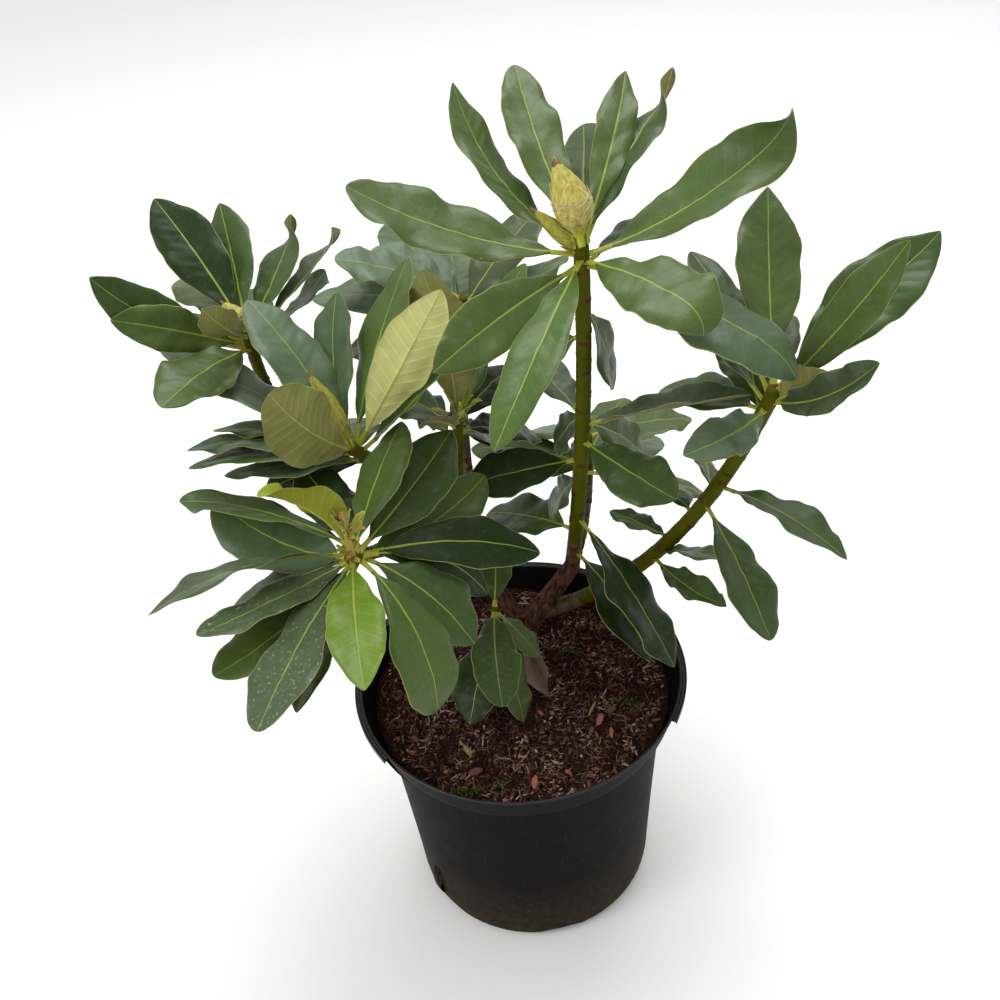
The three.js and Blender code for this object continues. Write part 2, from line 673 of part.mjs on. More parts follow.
// Level round the trunk's foot and at the wall, and dipping by up to SOIL_RELIEF elsewhere.
function soilLevel(x, y) {
  const fade = (value, from, over) => Math.min(1, Math.max(0, (value - from) / over));
  const open = fade(Math.hypot(x - FOOT.x, y - FOOT.y), 30, 25) * (1 - fade(Math.hypot(x, y), 88, 12));
  const dip = 0.5 + 0.25 * Math.sin(x / 11 + 1) + 0.25 * Math.cos(y / 9 - x / 23);
  return SOIL_LEVEL - SOIL_RELIEF * dip * open;
}

// The soil fills the pot up to SOIL_LEVEL, clear of its wall by GAP.
function soilSolid() {
  const ringAt = (radius, height) => Array.from({ length: POT.sides }, (_, k) => {
    const p = atAzimuth(360 * k / POT.sides - 90, radius, 0);
    return p.setZ(height(p));
  });
  const wall = potInside().slice(1, 7).map(([r, z]) => [r - GAP * 1.2, z + GAP]);
  const rings = [
    [new THREE.Vector3(0, 0, POT.floor + GAP)],
    ...wall.map(([r, z]) => ringAt(r, () => z)),
    ...[wall[5][0] + 0.1, 92, 72, 48, 24].map((r) => ringAt(r, (p) => soilLevel(p.x, p.y))),
    [new THREE.Vector3(0, 0, soilLevel(0, 0))],
  ];
  return solidFromRings(rings);
}

// ---------------------------------------------------------------- the plant's pieces

function flare(centre) {
  return 1 + ROOT_FLARE.swell * Math.exp(-Math.max(0, centre.z - SOIL_LEVEL) / ROOT_FLARE.height);
}

function trunkSolid(extra = 0) {
  const tube = limbTube(LIMB.trunk, 0, 1, { extra, rings: 14, swell: flare });
  return tube.trimByPlane([0, 0, 1], FOOT.z - extra);
}

// The stretch of a limb that a bough takes up, widened by `extra`.
function boughTube(name, extra = 0) {
  if (name === 'trunk') return trunkSolid(extra);
  const { limb, start, end, on } = BOUGH[name];
  const from = on ? start : start + GAP / limbLength(LIMB[limb]);
  return limbTube(LIMB[limb], from, end, { extra });
}

// What is left of a solid that grows out of its carriers, cut back clear of them.
function seated(solid, carriers = []) {
  if (carriers.length === 0) return solid;
  const seats = joined(carriers.map((name) => boughTube(name, SEAT_GAP)));
  return solid.subtract(seats).decompose()
    .reduce((largest, piece) => (piece.volume() > largest.volume() ? piece : largest));
}

// Young pointed leaves that stand in a tuft on the tip of a shoot.
function sproutLeaves(mass, random) {
  const { count, length, width, rises } = mass.sprouts;
  return Array.from({ length: count }, (_, k) => ({
    azimuth: 360 * k / count + 20 * random(),
    rise: rises[0] + (rises[1] - rises[0]) * random(),
    length: length * (0.8 + 0.4 * random()),
    width,
    roll: 0,
    arch: 30,
    curl: 0,
    sweep: 0,
    root: alongLimb(LIMB[mass.limb], mass.end, 1),
  }));
}

function massSolid(name, leaves) {
  const mass = MASS[name];
  const limb = LIMB[mass.limb];
  const length = limbLength(limb);
  const start = mass.on ? mass.start : mass.start + GAP / length;
  const parts = [limbTube(limb, start, mass.end, { rings: 5 })];
  for (const leaf of leaves) parts.push(leafSolid(leaf));
  for (const bud of mass.buds ?? []) {
    parts.push(budSolid({ ...bud, root: alongLimb(limb, mass.end, bud.down) }));
  }
  if (mass.sprouts) {
    const random = seeded(mass.seed + 2000);
    for (const leaf of sproutLeaves(mass, random)) parts.push(leafSolid(leaf, SPROUT_STATIONS));
  }
  return seated(joined(parts), mass.on).simplify(SLIVER);
}

// ---------------------------------------------------------------- the finished model

const FINISH = {
  pot: { color: 0x1e1e20, roughness: 0.55 },
  soil: { color: 0x3a2119, roughness: 0.95 },
  oldWood: { color: 0x5d3628, roughness: 0.85 },
  greenWood: { color: 0x5a5c1c, roughness: 0.6 },
  foliage: { color: 0x3c5a3a, roughness: 0.4 },
};

const plant = new THREE.Group();

function place(name, solid, finish) {
  const material = new THREE.MeshStandardMaterial({ ...FINISH[finish], metalness: 0 });
  const mesh = new THREE.Mesh(toGeometry(solid), material);
  mesh.name = name;
  plant.add(mesh);
}

place('pot', potSolid(), 'pot');
place('potting_soil', soilSolid(), 'soil');
place('trunk', trunkSolid(), 'oldWood');

for (const name of Object.keys(BOUGH)) {
  place(name, seated(boughTube(name), BOUGH[name].on), 'greenWood');
}

const leaves = leavesOfAllMasses();
for (const name of Object.keys(MASS)) {
  place(name, massSolid(name, leaves[name]), 'foliage');
}

export default plant;
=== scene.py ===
import math

import bpy
import numpy as np
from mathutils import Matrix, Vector, noise


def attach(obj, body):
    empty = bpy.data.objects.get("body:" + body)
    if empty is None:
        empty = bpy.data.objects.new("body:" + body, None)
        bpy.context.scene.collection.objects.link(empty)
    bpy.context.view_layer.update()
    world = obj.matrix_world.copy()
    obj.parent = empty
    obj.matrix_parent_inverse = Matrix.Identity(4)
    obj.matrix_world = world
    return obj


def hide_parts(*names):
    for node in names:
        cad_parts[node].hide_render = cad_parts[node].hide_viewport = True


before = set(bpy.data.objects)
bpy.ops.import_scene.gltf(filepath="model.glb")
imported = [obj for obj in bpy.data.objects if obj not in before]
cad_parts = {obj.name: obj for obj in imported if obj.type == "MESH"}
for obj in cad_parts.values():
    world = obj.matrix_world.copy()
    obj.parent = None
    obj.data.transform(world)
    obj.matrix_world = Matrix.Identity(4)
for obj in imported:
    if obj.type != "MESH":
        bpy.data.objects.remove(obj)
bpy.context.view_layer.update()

# ---------------------------------------------------------------- nursery pot
# A round pot moulded in black recycled plastic that tapers to its foot, with a turned-out collar.
# A flat ridged flange runs round the back and sides of the lip. Two handles stand off the wall,
# each a strip under the collar and one at the foot, and six low arches in the foot let water out.

MM = 0.001                       # sizes are in millimetres, and the meshes are made in metres
POT_HEIGHT = 190
LIP_RADIUS = 111.5
COLLAR_FOOT = 169
COLLAR_FOOT_RADIUS = 105.5
BODY_TOP_RADIUS = 98.5
FOOT_RADIUS = 87.5
FOOT_CORNER = 9
WALL_SWELL = 1.2                 # over 1, so that the wall stands steeper at its foot
POT_WALL = 2
POT_FLOOR = 3
FLOOR_RADIUS = 64                # of the flat floor inside
AXIS_RADIUS = 0.5                # of the innermost ring of points
POT_SEGMENTS = 360
# edges of the pot's section: points outward and upward from the circle that each edge sits on
COLLAR_STEP = ((0, -1.6), (0.5, -0.7), (1.5, -0.2), (3, 0))
COLLAR_HEM = ((-1, 0), (-0.3, 0.3), (0, 1))
LIP_EDGE = ((0, -0.8), (-0.2, -0.2), (-0.8, 0), (-1.5, -0.1), (-1.9, -0.7))
ARCH_COUNT = 6
ARCH_FIRST = 38.5
ARCH_HALF_ANGLE = 10
ARCH_HEIGHT = 8
ARCH_INNER_RADIUS = 75
FLANGE_FROM = -30
FLANGE_TO = 216
# the flange's section: points outward from the lip and upward from the pot's top
FLANGE_SECTION = ((-1, -2.6), (2.2, -2.8), (2.6, -4), (3, -4), (3.2, -0.6), (3, 0), (2.5, 0), (2.2, -0.7),
                  (1.1, -0.7), (0.9, -0.1), (0.4, -0.1), (0.1, -0.7), (-1, -0.7))
LUG_AZIMUTHS = (34, 214)
LUG_HALF_WIDTH = 3
LUG_HALF_THICKNESS = 0.8
PLASTIC_BLACK = (0.0028, 0.0022, 0.0023)
WORN_BLACK = (0.0068, 0.0056, 0.0058)
DUST = (0.03, 0.024, 0.02)
SPECK = (0.17, 0.17, 0.16)
MUD = (0.045, 0.034, 0.014)
MUD_HEIGHTS = (0.07, 0.005)      # metres: mud starts at the first and is thickest at the second
SPECK_HEIGHTS = (0.15, 0.04)


def mesh_piece(name, points, faces, finishes, face_finish=None, smooth=True):
    """A mesh from points in millimetres; face_finish numbers each face's finish."""
    mesh = bpy.data.meshes.new(name)
    mesh.from_pydata((np.asarray(points, float) * MM).tolist(), [], [list(map(int, f)) for f in faces])
    for finish in finishes:
        mesh.materials.append(finish)
    if face_finish is not None:
        mesh.polygons.foreach_set("material_index", np.asarray(face_finish, dtype=np.int32))
    mesh.polygons.foreach_set("use_smooth", np.full(len(mesh.polygons), smooth))
    mesh.update()
    piece = bpy.data.objects.new(name, mesh)
    bpy.context.scene.collection.objects.link(piece)
    return piece


def grid_faces(rows, columns, closed):
    """Quads over a grid of points that runs row by row, closed round each row where asked."""
    row = np.arange(rows - 1)[:, None] * columns
    column = np.arange(columns if closed else columns - 1)[None, :]
    following = (column + 1) % columns
    a, b = row + column, row + following
    return np.stack([a, b, b + columns, a + columns], axis=-1).reshape(-1, 4)


class Heap:
    """Gathers the points and faces of many small shapes into one mesh."""

    def __init__(self):
        self.points, self.faces, self.finish = [], [], []
        self.count = 0

    def add(self, points, faces, finish):
        """finish is one number for the whole shape, or one number for each face."""
        self.faces.extend((np.asarray(face) + self.count).tolist() for face in faces)
        self.finish.extend([finish] * len(faces) if np.isscalar(finish) else list(finish))
        self.points.append(np.asarray(points, float).reshape(-1, 3))
        self.count += len(self.points[-1])

    def piece(self, name, finishes, smooth=True):
        return mesh_piece(name, np.concatenate(self.points), self.faces, finishes, self.finish, smooth)


def body_radius(z):
    return FOOT_RADIUS + (BODY_TOP_RADIUS - FOOT_RADIUS) * (max(z, 0) / COLLAR_FOOT) ** WALL_SWELL


def pot_profile():
    """The pot's section from the middle of its underside, up outside and down inside."""
    foot = [(AXIS_RADIUS, 0), (40, 0)] + [(ARCH_INNER_RADIUS + r, 0) for r in (-0.6, 0, 0.3)]
    turns = np.radians(np.linspace(0, 90, 9))
    corner = [(FOOT_RADIUS - FOOT_CORNER * (1 - math.sin(a)), FOOT_CORNER * (1 - math.cos(a))) for a in turns]
    wall = [(body_radius(z), z) for z in np.linspace(14, COLLAR_FOOT - 3, 26)]
    step = [(BODY_TOP_RADIUS + r, COLLAR_FOOT + z) for r, z in COLLAR_STEP]
    hem = [(COLLAR_FOOT_RADIUS + r, COLLAR_FOOT + z) for r, z in COLLAR_HEM]
    slope = (LIP_RADIUS - COLLAR_FOOT_RADIUS) / (POT_HEIGHT - COLLAR_FOOT)
    collar = [(COLLAR_FOOT_RADIUS + slope * z, COLLAR_FOOT + z) for z in np.linspace(2, 19.5, 8)]
    lip = [(LIP_RADIUS + r, POT_HEIGHT + z) for r, z in LIP_EDGE]
    inner_collar = [(r - POT_WALL, z) for r, z in reversed(collar)]
    inner_step = [(COLLAR_FOOT_RADIUS - 2.4, COLLAR_FOOT + 1.2), (BODY_TOP_RADIUS - POT_WALL, COLLAR_FOOT)]
    inner_wall = [(body_radius(z) - POT_WALL, z) for z in (150, 115, 60, 18)]
    inner_floor = [(FLOOR_RADIUS, POT_FLOOR), (AXIS_RADIUS, POT_FLOOR)]
    outside = foot + corner + wall + step + hem + collar + lip
    return outside + inner_collar + inner_step + inner_wall + inner_floor


def arch_height(azimuth):
    """How high a drain arch lifts the pot's foot at this azimuth."""
    spacing = 360 / ARCH_COUNT
    off = abs((azimuth - ARCH_FIRST + spacing / 2) % spacing - spacing / 2) / ARCH_HALF_ANGLE
    return ARCH_HEIGHT * (1 - off ** 6) ** 0.5 if off < 1 else 0


def swept(sections):
    """A closed skin through sections that hold the same number of points each."""
    count = len(sections[0])
    faces = [tuple(f) for f in grid_faces(len(sections), count, closed=True)]
    faces.append(tuple(reversed(range(count))))
    last = (len(sections) - 1) * count
    faces.append(tuple(range(last, last + count)))
    return np.concatenate(sections), faces


def pot_shell():
    rings = []
    for radius, z in pot_profile():
        ring = []
        for azimuth in np.arange(POT_SEGMENTS) * 360 / POT_SEGMENTS:
            lift = arch_height(azimuth) if radius > ARCH_INNER_RADIUS and z < ARCH_HEIGHT else 0
            angle = math.radians(azimuth)
            ring.append((radius * math.cos(angle), radius * math.sin(angle), max(z, lift)))
        rings.append(ring)
    return swept(rings)


def flange():
    """The flat flange, swept round the lip, with two low ridges on top."""
    sections = []
    for azimuth in np.arange(FLANGE_FROM, FLANGE_TO + 1, 1):
        angle = math.radians(azimuth)
        section = [(LIP_RADIUS + r, POT_HEIGHT + z) for r, z in FLANGE_SECTION]
        sections.append([(radius * math.cos(angle), radius * math.sin(angle), z) for radius, z in section])
    return swept(sections)


def lug(azimuth, low, high, bow, top_radius):
    """A bowed strip with rounded edges that leaves the wall at low and meets top_radius at high."""
    angle = math.radians(azimuth)
    outward = np.array([math.cos(angle), math.sin(angle), 0])
    across = np.array([-math.sin(angle), math.cos(angle), 0])
    foot_radius = body_radius(low) - 1
    sections = []
    for share in np.linspace(0, 1, 17):
        radius = foot_radius + (top_radius - foot_radius) * share + bow * math.sin(math.pi * share) ** 0.6
        centre = outward * radius + np.array([0, 0, low + (high - low) * share])
        section = [centre + across * LUG_HALF_WIDTH * math.copysign(abs(math.sin(a)) ** 0.5, math.sin(a))
                   + outward * LUG_HALF_THICKNESS * math.copysign(abs(math.cos(a)) ** 0.5, math.cos(a))
                   for a in np.radians(np.arange(0, 360, 30) + 15)]
        sections.append(section)
    return swept(sections)


class Signal:
    """A shader socket that can be added, taken away and multiplied like a number."""

    def __init__(self, finish, socket):
        self.finish, self.socket = finish, socket

    def maths(self, operation, first, second):
        return self.finish.node("ShaderNodeMath", {"operation": operation}, {0: first, 1: second})

    def __add__(self, other):
        return self.maths("ADD", self, other)

    def __sub__(self, other):
        return self.maths("SUBTRACT", self, other)

    def __mul__(self, other):
        return self.maths("MULTIPLY", self, other)

    def __rsub__(self, other):
        return self.maths("SUBTRACT", other, self)

    __radd__ = __add__
    __rmul__ = __mul__


class Finish:
    """A material in the making. Its patterns lie in the part's own space, in metres."""

    def __init__(self, name):
        self.material = bpy.data.materials.new(name)
        self.material.use_nodes = True
        self.material.node_tree.nodes.clear()
        self.place = self.node("ShaderNodeTexCoord", output="Object")

    def node(self, kind, settings=None, inputs=None, output=0):
        """Adds a node: its settings first, then the values or links of its sockets."""
        made = self.material.node_tree.nodes.new(kind)
        for key, value in (settings or {}).items():
            setattr(made, key, value)
        for key, value in (inputs or {}).items():
            if isinstance(value, Signal):
                self.material.node_tree.links.new(value.socket, made.inputs[key])
            else:
                made.inputs[key].default_value = value
        return None if output is None else Signal(self, made.outputs[output])

    def noise(self, size, detail=3, stretch=(1, 1, 1)):
        """Noise from 0 to 1 in lumps of about `size` millimetres, drawn out along an axis by stretch."""
        scale = [1 / (size * MM * s) for s in stretch]
        placed = self.node("ShaderNodeVectorMath", {"operation": "MULTIPLY"}, {0: self.place, 1: scale})
        inputs = {"Vector": placed, "Scale": 1.0, "Detail": float(detail)}
        return self.node("ShaderNodeTexNoise", inputs=inputs)

    def between(self, signal, low, high):
        """0 where the signal is under low, 1 over high, and even in between."""
        return self.node("ShaderNodeMapRange", inputs={"Value": signal, "From Min": low, "From Max": high})

    def mix(self, first, second, share):
        """Two colours mixed: share 0 is the first."""
        colours = [c if isinstance(c, Signal) else (*c, 1) for c in (first, second)]
        inputs = {0: share, 6: colours[0], 7: colours[1]}
        return self.node("ShaderNodeMix", {"data_type": "RGBA"}, inputs, output=2)

    def close(self, colour, roughness, relief=None, relief_mm=0.1, shine=0.5):
        """Ends the material with its shader. relief is a height signal; 1 of it stands for relief_mm."""
        inputs = {"Base Color": colour if isinstance(colour, Signal) else (*colour, 1),
                  "Roughness": roughness, "Specular IOR Level": shine}
        if relief is not None:
            bump = {"Height": relief, "Distance": relief_mm * MM}
            inputs["Normal"] = self.node("ShaderNodeBump", inputs=bump)
        shader = self.node("ShaderNodeBsdfPrincipled", inputs=inputs)
        self.node("ShaderNodeOutputMaterial", inputs={"Surface": shader}, output=None)
        return self.material


def black_plastic(name, roughness, shine):
    """Finely scratched and dusty, with pale specks lower down and mud splashed on the foot."""
    finish = Finish(name)
    height = finish.node("ShaderNodeSeparateXYZ", inputs={0: finish.place}, output=2)
    patches = 0.3 + 0.7 * finish.between(finish.noise(5, 6), 0.3, 0.7)
    splash = finish.between(height, *MUD_HEIGHTS) * patches
    dust = finish.between(finish.noise(2.2, 6), 0.6, 0.78) * 0.5
    scratch = finish.between(finish.noise(1.1, 2, stretch=(1, 1, 26)), 0.67, 0.72)
    black = finish.mix(PLASTIC_BLACK, WORN_BLACK, finish.noise(30, 4))
    dusty = finish.mix(black, DUST, dust * 0.5)
    speck = finish.between(finish.noise(1.3, 2), 0.72, 0.75) * finish.between(height, *SPECK_HEIGHTS)
    marked = finish.mix(dusty, SPECK, scratch * 0.06 + speck * 0.8)
    muddy = finish.mix(marked, MUD, splash * 0.8)
    gloss = roughness + finish.noise(14, 5) * 0.14 + dust * 0.2
    grain = finish.noise(0.5, 2) * 0.5 + finish.noise(7, 2)
    return finish.close(muddy, gloss, grain, 0.12, shine)


WALL_PLASTIC, LIP_PLASTIC = 0, 1
LIP_FROM = POT_HEIGHT - 1.5      # faces above this are rubbed smooth
# a handle's strips: the heights that each runs between, its bow, and the radius that it ends at
LUG_STRIPS = ((148, 186, 1.5, LIP_RADIUS - 0.5), (12, 44, 4, body_radius(44) - 1))

pot_points, pot_faces = pot_shell()
on_lip = [min(pot_points[corner][2] for corner in face) > LIP_FROM for face in pot_faces]
pot_heap = Heap()
pot_heap.add(pot_points, pot_faces, [LIP_PLASTIC if lip else WALL_PLASTIC for lip in on_lip])
pot_heap.add(*flange(), LIP_PLASTIC)
for lug_azimuth in LUG_AZIMUTHS:
    for strip in LUG_STRIPS:
        pot_heap.add(*lug(lug_azimuth, *strip), WALL_PLASTIC)
plastics = [black_plastic("black_pot_plastic", 0.5, 0.05), black_plastic("rubbed_lip_plastic", 0.26, 0.4)]
pot = pot_heap.piece("pot_shell", plastics)
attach(pot, "root")
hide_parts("pot")

# ---------------------------------------------------------------- potting soil
# Damp reddish-brown potting soil, level with the foot of the trunk and 18 mm under the lip. Its
# surface is lumpy, with loose crumbs, shreds and chips of bark, fibres, pale grains and moss.

SOIL_LEVEL = 172
SOIL_RELIEF = 3
TRUNK_FOOT = (5, 61)
SOIL_RADIUS = 102.6
SOIL_RINGS = 72
SOIL_SEGMENTS = 300
SIDE_INSET = 2.5                 # from the outside of the pot's wall to the soil's side
# the soil's side, from its top edge down to the floor: radius and height
SOIL_SIDE = ([(102.4, 171.4)] + [(body_radius(at) - SIDE_INSET, z)
                                 for at, z in ((COLLAR_FOOT, 170.4), (115, 115), (60, 60), (18, 18.3))]
             + [(FLOOR_RADIUS, 3.3)])
# lumps of the surface: size and height
SOIL_LUMPS = ((19, 2.6), (6, 2.8), (2.3, 2.2))
# hollows: x, y, radius and depth, which is under 0 for a mound
HOLLOWS = ((29, -83, 9, 6), (35, 2, 13, 4), (-62, 44, 16, 3), (30, -20, 9, 5), (18, 14, 12, 3),
           (43, -72, 12, -4))
DAMP_EARTH = (0.034, 0.0135, 0.0105)
PALE_FLECK = (0.3, 0.2, 0.13)
CRUMB_COLOURS = ((0.035, 0.0135, 0.0105), (0.07, 0.028, 0.021), (0.12, 0.052, 0.038), (0.012, 0.006, 0.005))
FIBRE_COLOURS = ((0.2, 0.095, 0.068), (0.36, 0.23, 0.155), (0.09, 0.04, 0.03))
SHRED_COLOURS = ((0.05, 0.019, 0.015), (0.12, 0.052, 0.039), (0.25, 0.125, 0.095), (0.45, 0.3, 0.235))
CHIP_COLOURS = ((0.36, 0.13, 0.085), (0.16, 0.07, 0.052), (0.3, 0.24, 0.1), (0.5, 0.44, 0.38))
MOSS_COLOURS = ((0.17, 0.2, 0.03), (0.08, 0.13, 0.025))
CRUMBS, SHREDS, FIBRES, CHIPS, GRAINS = 2200, 7000, 1100, 90, 34
SHRED_SHADES = (0.36, 0.72, 0.93)   # drawn shades from which the paler colours of shred start
# the larger chips: x, y, azimuth, length, width and colour
LARGE_CHIPS = ((-38, -52, -0.98, 27, 4, 2), (-35, -69, 0.4, 11, 6, 1), (51, -37, 1.2, 12, 4.5, 0),
               (57, -50, 1.5, 10, 3, 0), (44, -45, 1.2, 10, 3, 1), (3, -83, 1.4, 12, 4.5, 0),
               (47, -26, 1.1, 14, 2, 2), (60, -28, 0.6, 9, 4, 1))
# patches of moss: x, y, spread and number of leaves
MOSS_PATCHES = ((-41, -87, 9, 90), (69, -24, 11, 80), (-20, -82, 6, 30), (-52, -30, 8, 30), (38, 30, 9, 30))
MOSS_LEAF_FACES = [(0, 3, 2), (0, 2, 1), (0, 1, 4), (1, 2, 4), (2, 3, 4), (3, 0, 4)]
ANY_TURN = 6.3                   # a full turn in radians, for headings that are drawn


def seeded(seed):
    """Park and Miller's generator: the same seed always gives the same numbers."""
    state = seed
    while True:
        state = state * 16807 % 2147483647
        yield state / 2147483647


def soil_level(x, y):
    """Level round the trunk's foot and at the wall, and dipping a little elsewhere."""
    foot = math.hypot(x - TRUNK_FOOT[0], y - TRUNK_FOOT[1])
    open_ground = min(1, max(0, (foot - 30) / 25)) * (1 - min(1, max(0, (math.hypot(x, y) - 88) / 12)))
    dip = 0.5 + 0.25 * math.sin(x / 11 + 1) + 0.25 * math.cos(y / 9 - x / 23)
    return SOIL_LEVEL - SOIL_RELIEF * dip * open_ground


def soil_top(x, y):
    """The crumbly surface: lumps of three sizes on the level, and a few hollows."""
    lumps = sum(height * noise.noise(Vector((x / size, y / size, size))) for size, height in SOIL_LUMPS)
    hollows = sum(deep * math.exp(-((x - hx) ** 2 + (y - hy) ** 2) / wide ** 2)
                  for hx, hy, wide, deep in HOLLOWS)
    return soil_level(x, y) + lumps - hollows


def soil_body():
    """The surface in rings from the middle outwards, then the side down to the pot's floor."""
    angles = np.arange(SOIL_SEGMENTS) * 2 * math.pi / SOIL_SEGMENTS
    rings = []
    for radius in np.linspace(0.4, SOIL_RADIUS, SOIL_RINGS):
        circle = [(radius * math.cos(angle), radius * math.sin(angle)) for angle in angles]
        rings.append([(x, y, soil_top(x, y)) for x, y in circle])
    for radius, z in SOIL_SIDE:
        rings.append([(radius * math.cos(angle), radius * math.sin(angle), z) for angle in angles])
    points, faces = swept(rings)
    return points, [face[::-1] for face in faces]


def earth(name, colour, sparkle=0.0):
    """Damp crumbly earth. sparkle is how much its pale flecks show."""
    finish = Finish(name)
    darker = tuple(c * 0.35 for c in colour)
    tone = finish.mix(darker, colour, finish.between(finish.noise(1.6, 6), 0.3, 0.62))
    speckled = finish.mix(tone, PALE_FLECK, finish.between(finish.noise(0.7, 3), 0.66, 0.74) * sparkle)
    return finish.close(speckled, 0.92, finish.noise(0.9, 6), 0.8, shine=0.05)


def plain_finish(name, colour, roughness, shine=0.1):
    """A matt organic finish that varies a little, for small loose things."""
    finish = Finish(name)
    tone = finish.mix(tuple(c * 0.65 for c in colour), colour, finish.noise(3, 4))
    return finish.close(tone, roughness, finish.noise(1, 3), 0.1, shine)


# a crumb before it is worn: a solid of twenty equal triangles, of radius 1
GOLDEN = 1.618
CRUMB_POINTS = np.array([(-1, GOLDEN, 0), (1, GOLDEN, 0), (-1, -GOLDEN, 0), (1, -GOLDEN, 0),
                         (0, -1, GOLDEN), (0, 1, GOLDEN), (0, -1, -GOLDEN), (0, 1, -GOLDEN),
                         (GOLDEN, 0, -1), (GOLDEN, 0, 1), (-GOLDEN, 0, -1), (-GOLDEN, 0, 1)]) / 1.902
CRUMB_FACES = [(0, 11, 5), (0, 5, 1), (0, 1, 7), (0, 7, 10), (0, 10, 11), (1, 5, 9), (5, 11, 4), (11, 10, 2),
               (10, 7, 6), (7, 1, 8), (3, 9, 4), (3, 4, 2), (3, 2, 6), (3, 6, 8), (3, 8, 9), (4, 9, 5),
               (2, 4, 11), (6, 2, 10), (8, 6, 7), (9, 8, 1)]


def turned(points, azimuth, tilt):
    """Points turned about Z by azimuth, after a tilt about Y, in radians."""
    c, s = math.cos(tilt), math.sin(tilt)
    tilted = points @ np.array([(c, 0, -s), (0, 1, 0), (s, 0, c)])
    c, s = math.cos(azimuth), math.sin(azimuth)
    return tilted @ np.array([(c, s, 0), (-s, c, 0), (0, 0, 1)])


def somewhere(draw, reach=SOIL_RADIUS - 3):
    """A place on the soil, evenly spread."""
    radius, angle = reach * math.sqrt(next(draw)), 2 * math.pi * next(draw)
    return radius * math.cos(angle), radius * math.sin(angle)


def strand(path, radii, sides=4):
    """A thin closed tube through a path of points."""
    path = np.asarray(path, float)
    along = np.gradient(path, axis=0)
    along /= np.linalg.norm(along, axis=1)[:, None]
    across = np.cross(along, (0.31, 0.2, 1))
    across /= np.linalg.norm(across, axis=1)[:, None]
    other = np.cross(along, across)
    turns = np.arange(sides) * 2 * math.pi / sides
    rings = [p + r * (np.cos(turns)[:, None] * a + np.sin(turns)[:, None] * b)
             for p, r, a, b in zip(path, radii, across, other)]
    return swept(rings)


soil = mesh_piece("soil_body", *soil_body(), [earth("damp_soil", DAMP_EARTH, 0.4)])
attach(soil, "root")
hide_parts("potting_soil")

crumbs = Heap()
draw = seeded(401)
for _ in range(CRUMBS):
    x, y = somewhere(draw)
    size = 0.5 + 1.5 * next(draw) ** 3
    wobble = np.array([0.7 + 0.6 * next(draw) for _ in CRUMB_POINTS])[:, None]
    half_sizes = (size, size * (0.6 + 0.4 * next(draw)), size * 0.6)
    lump = turned(CRUMB_POINTS * wobble * half_sizes, ANY_TURN * next(draw), next(draw))
    crumbs.add(lump + (x, y, soil_top(x, y) + size * 0.25), CRUMB_FACES, int(4 * next(draw)))
crumb_finishes = [earth(f"soil_crumb_{k}", c) for k, c in enumerate(CRUMB_COLOURS)]
soil_crumbs = crumbs.piece("soil_crumbs", crumb_finishes, smooth=False)


def splinter(x, y, length, width, azimuth, tilt, lift, draw):
    """A thin flat splinter with ragged ends, lying on the soil."""
    half, thick = width / 2, 0.16 + 0.12 * width
    cuts = [0.5 * next(draw) for _ in range(4)]
    outline = [(-length / 2, -half * cuts[0]), (length * (0.35 - cuts[1] / 3), -half),
               (length / 2, half * (cuts[2] - 0.3)), (length * (0.2 - cuts[3] / 3), half),
               (-length * 0.4, half * 0.7)]
    flat = np.array([(a, b, 0) for a, b in outline])
    both = np.concatenate([flat - (0, 0, thick), flat + (0, 0, thick)])
    return turned(both, azimuth, tilt) + (x, y, soil_top(x, y) + lift)


SPLINTER_FACES = [(4, 3, 2, 1, 0), (5, 6, 7, 8, 9), (0, 1, 6, 5), (1, 2, 7, 6), (2, 3, 8, 7), (3, 4, 9, 8),
                  (4, 0, 5, 9)]
shreds = Heap()
draw = seeded(443)
for _ in range(SHREDS):
    x, y = somewhere(draw, SOIL_RADIUS - 4)
    length, width = 1.6 + 5.4 * next(draw) ** 1.8, 0.35 + 1.1 * next(draw) ** 2
    azimuth, tilt, lift = ANY_TURN * next(draw), 0.9 * (next(draw) - 0.5), 0.2 + 0.9 * next(draw)
    shade = next(draw) + 0.75 * noise.noise(Vector((x / 21, y / 21, 4.2)))
    kind = sum(shade >= paler for paler in SHRED_SHADES)
    shreds.add(splinter(x, y, length, width, azimuth, tilt, lift, draw), SPLINTER_FACES, kind)
shred_finishes = [plain_finish(f"bark_shred_{k}", c, 0.85) for k, c in enumerate(SHRED_COLOURS)]
bark_shreds = shreds.piece("bark_shreds", shred_finishes, smooth=False)

fibres = Heap()
draw = seeded(409)
for _ in range(FIBRES):
    x, y = somewhere(draw)
    heading, bend, length = ANY_TURN * next(draw), 1.6 * (next(draw) - 0.5), 3 + 13 * next(draw) ** 2
    lift, thickness = 0.5 + 1.6 * next(draw), 0.1 + 0.13 * next(draw)
    path = []
    for share in np.linspace(0, 1, 6):
        turn = heading + bend * share
        px, py = x + length * share * math.cos(turn), y + length * share * math.sin(turn)
        if math.hypot(px, py) > SOIL_RADIUS - 2:
            break
        path.append((px, py, soil_top(px, py) + 0.3 + lift * math.sin(math.pi * share)))
    if len(path) == 6:
        fibres.add(*strand(path, [thickness * k for k in (0.5, 1, 1, 1, 0.8, 0.4)]), int(3 * next(draw)))
fibre_finishes = [plain_finish(f"soil_fibre_{k}", c, 0.85) for k, c in enumerate(FIBRE_COLOURS)]
soil_fibres = fibres.piece("soil_fibres", fibre_finishes)


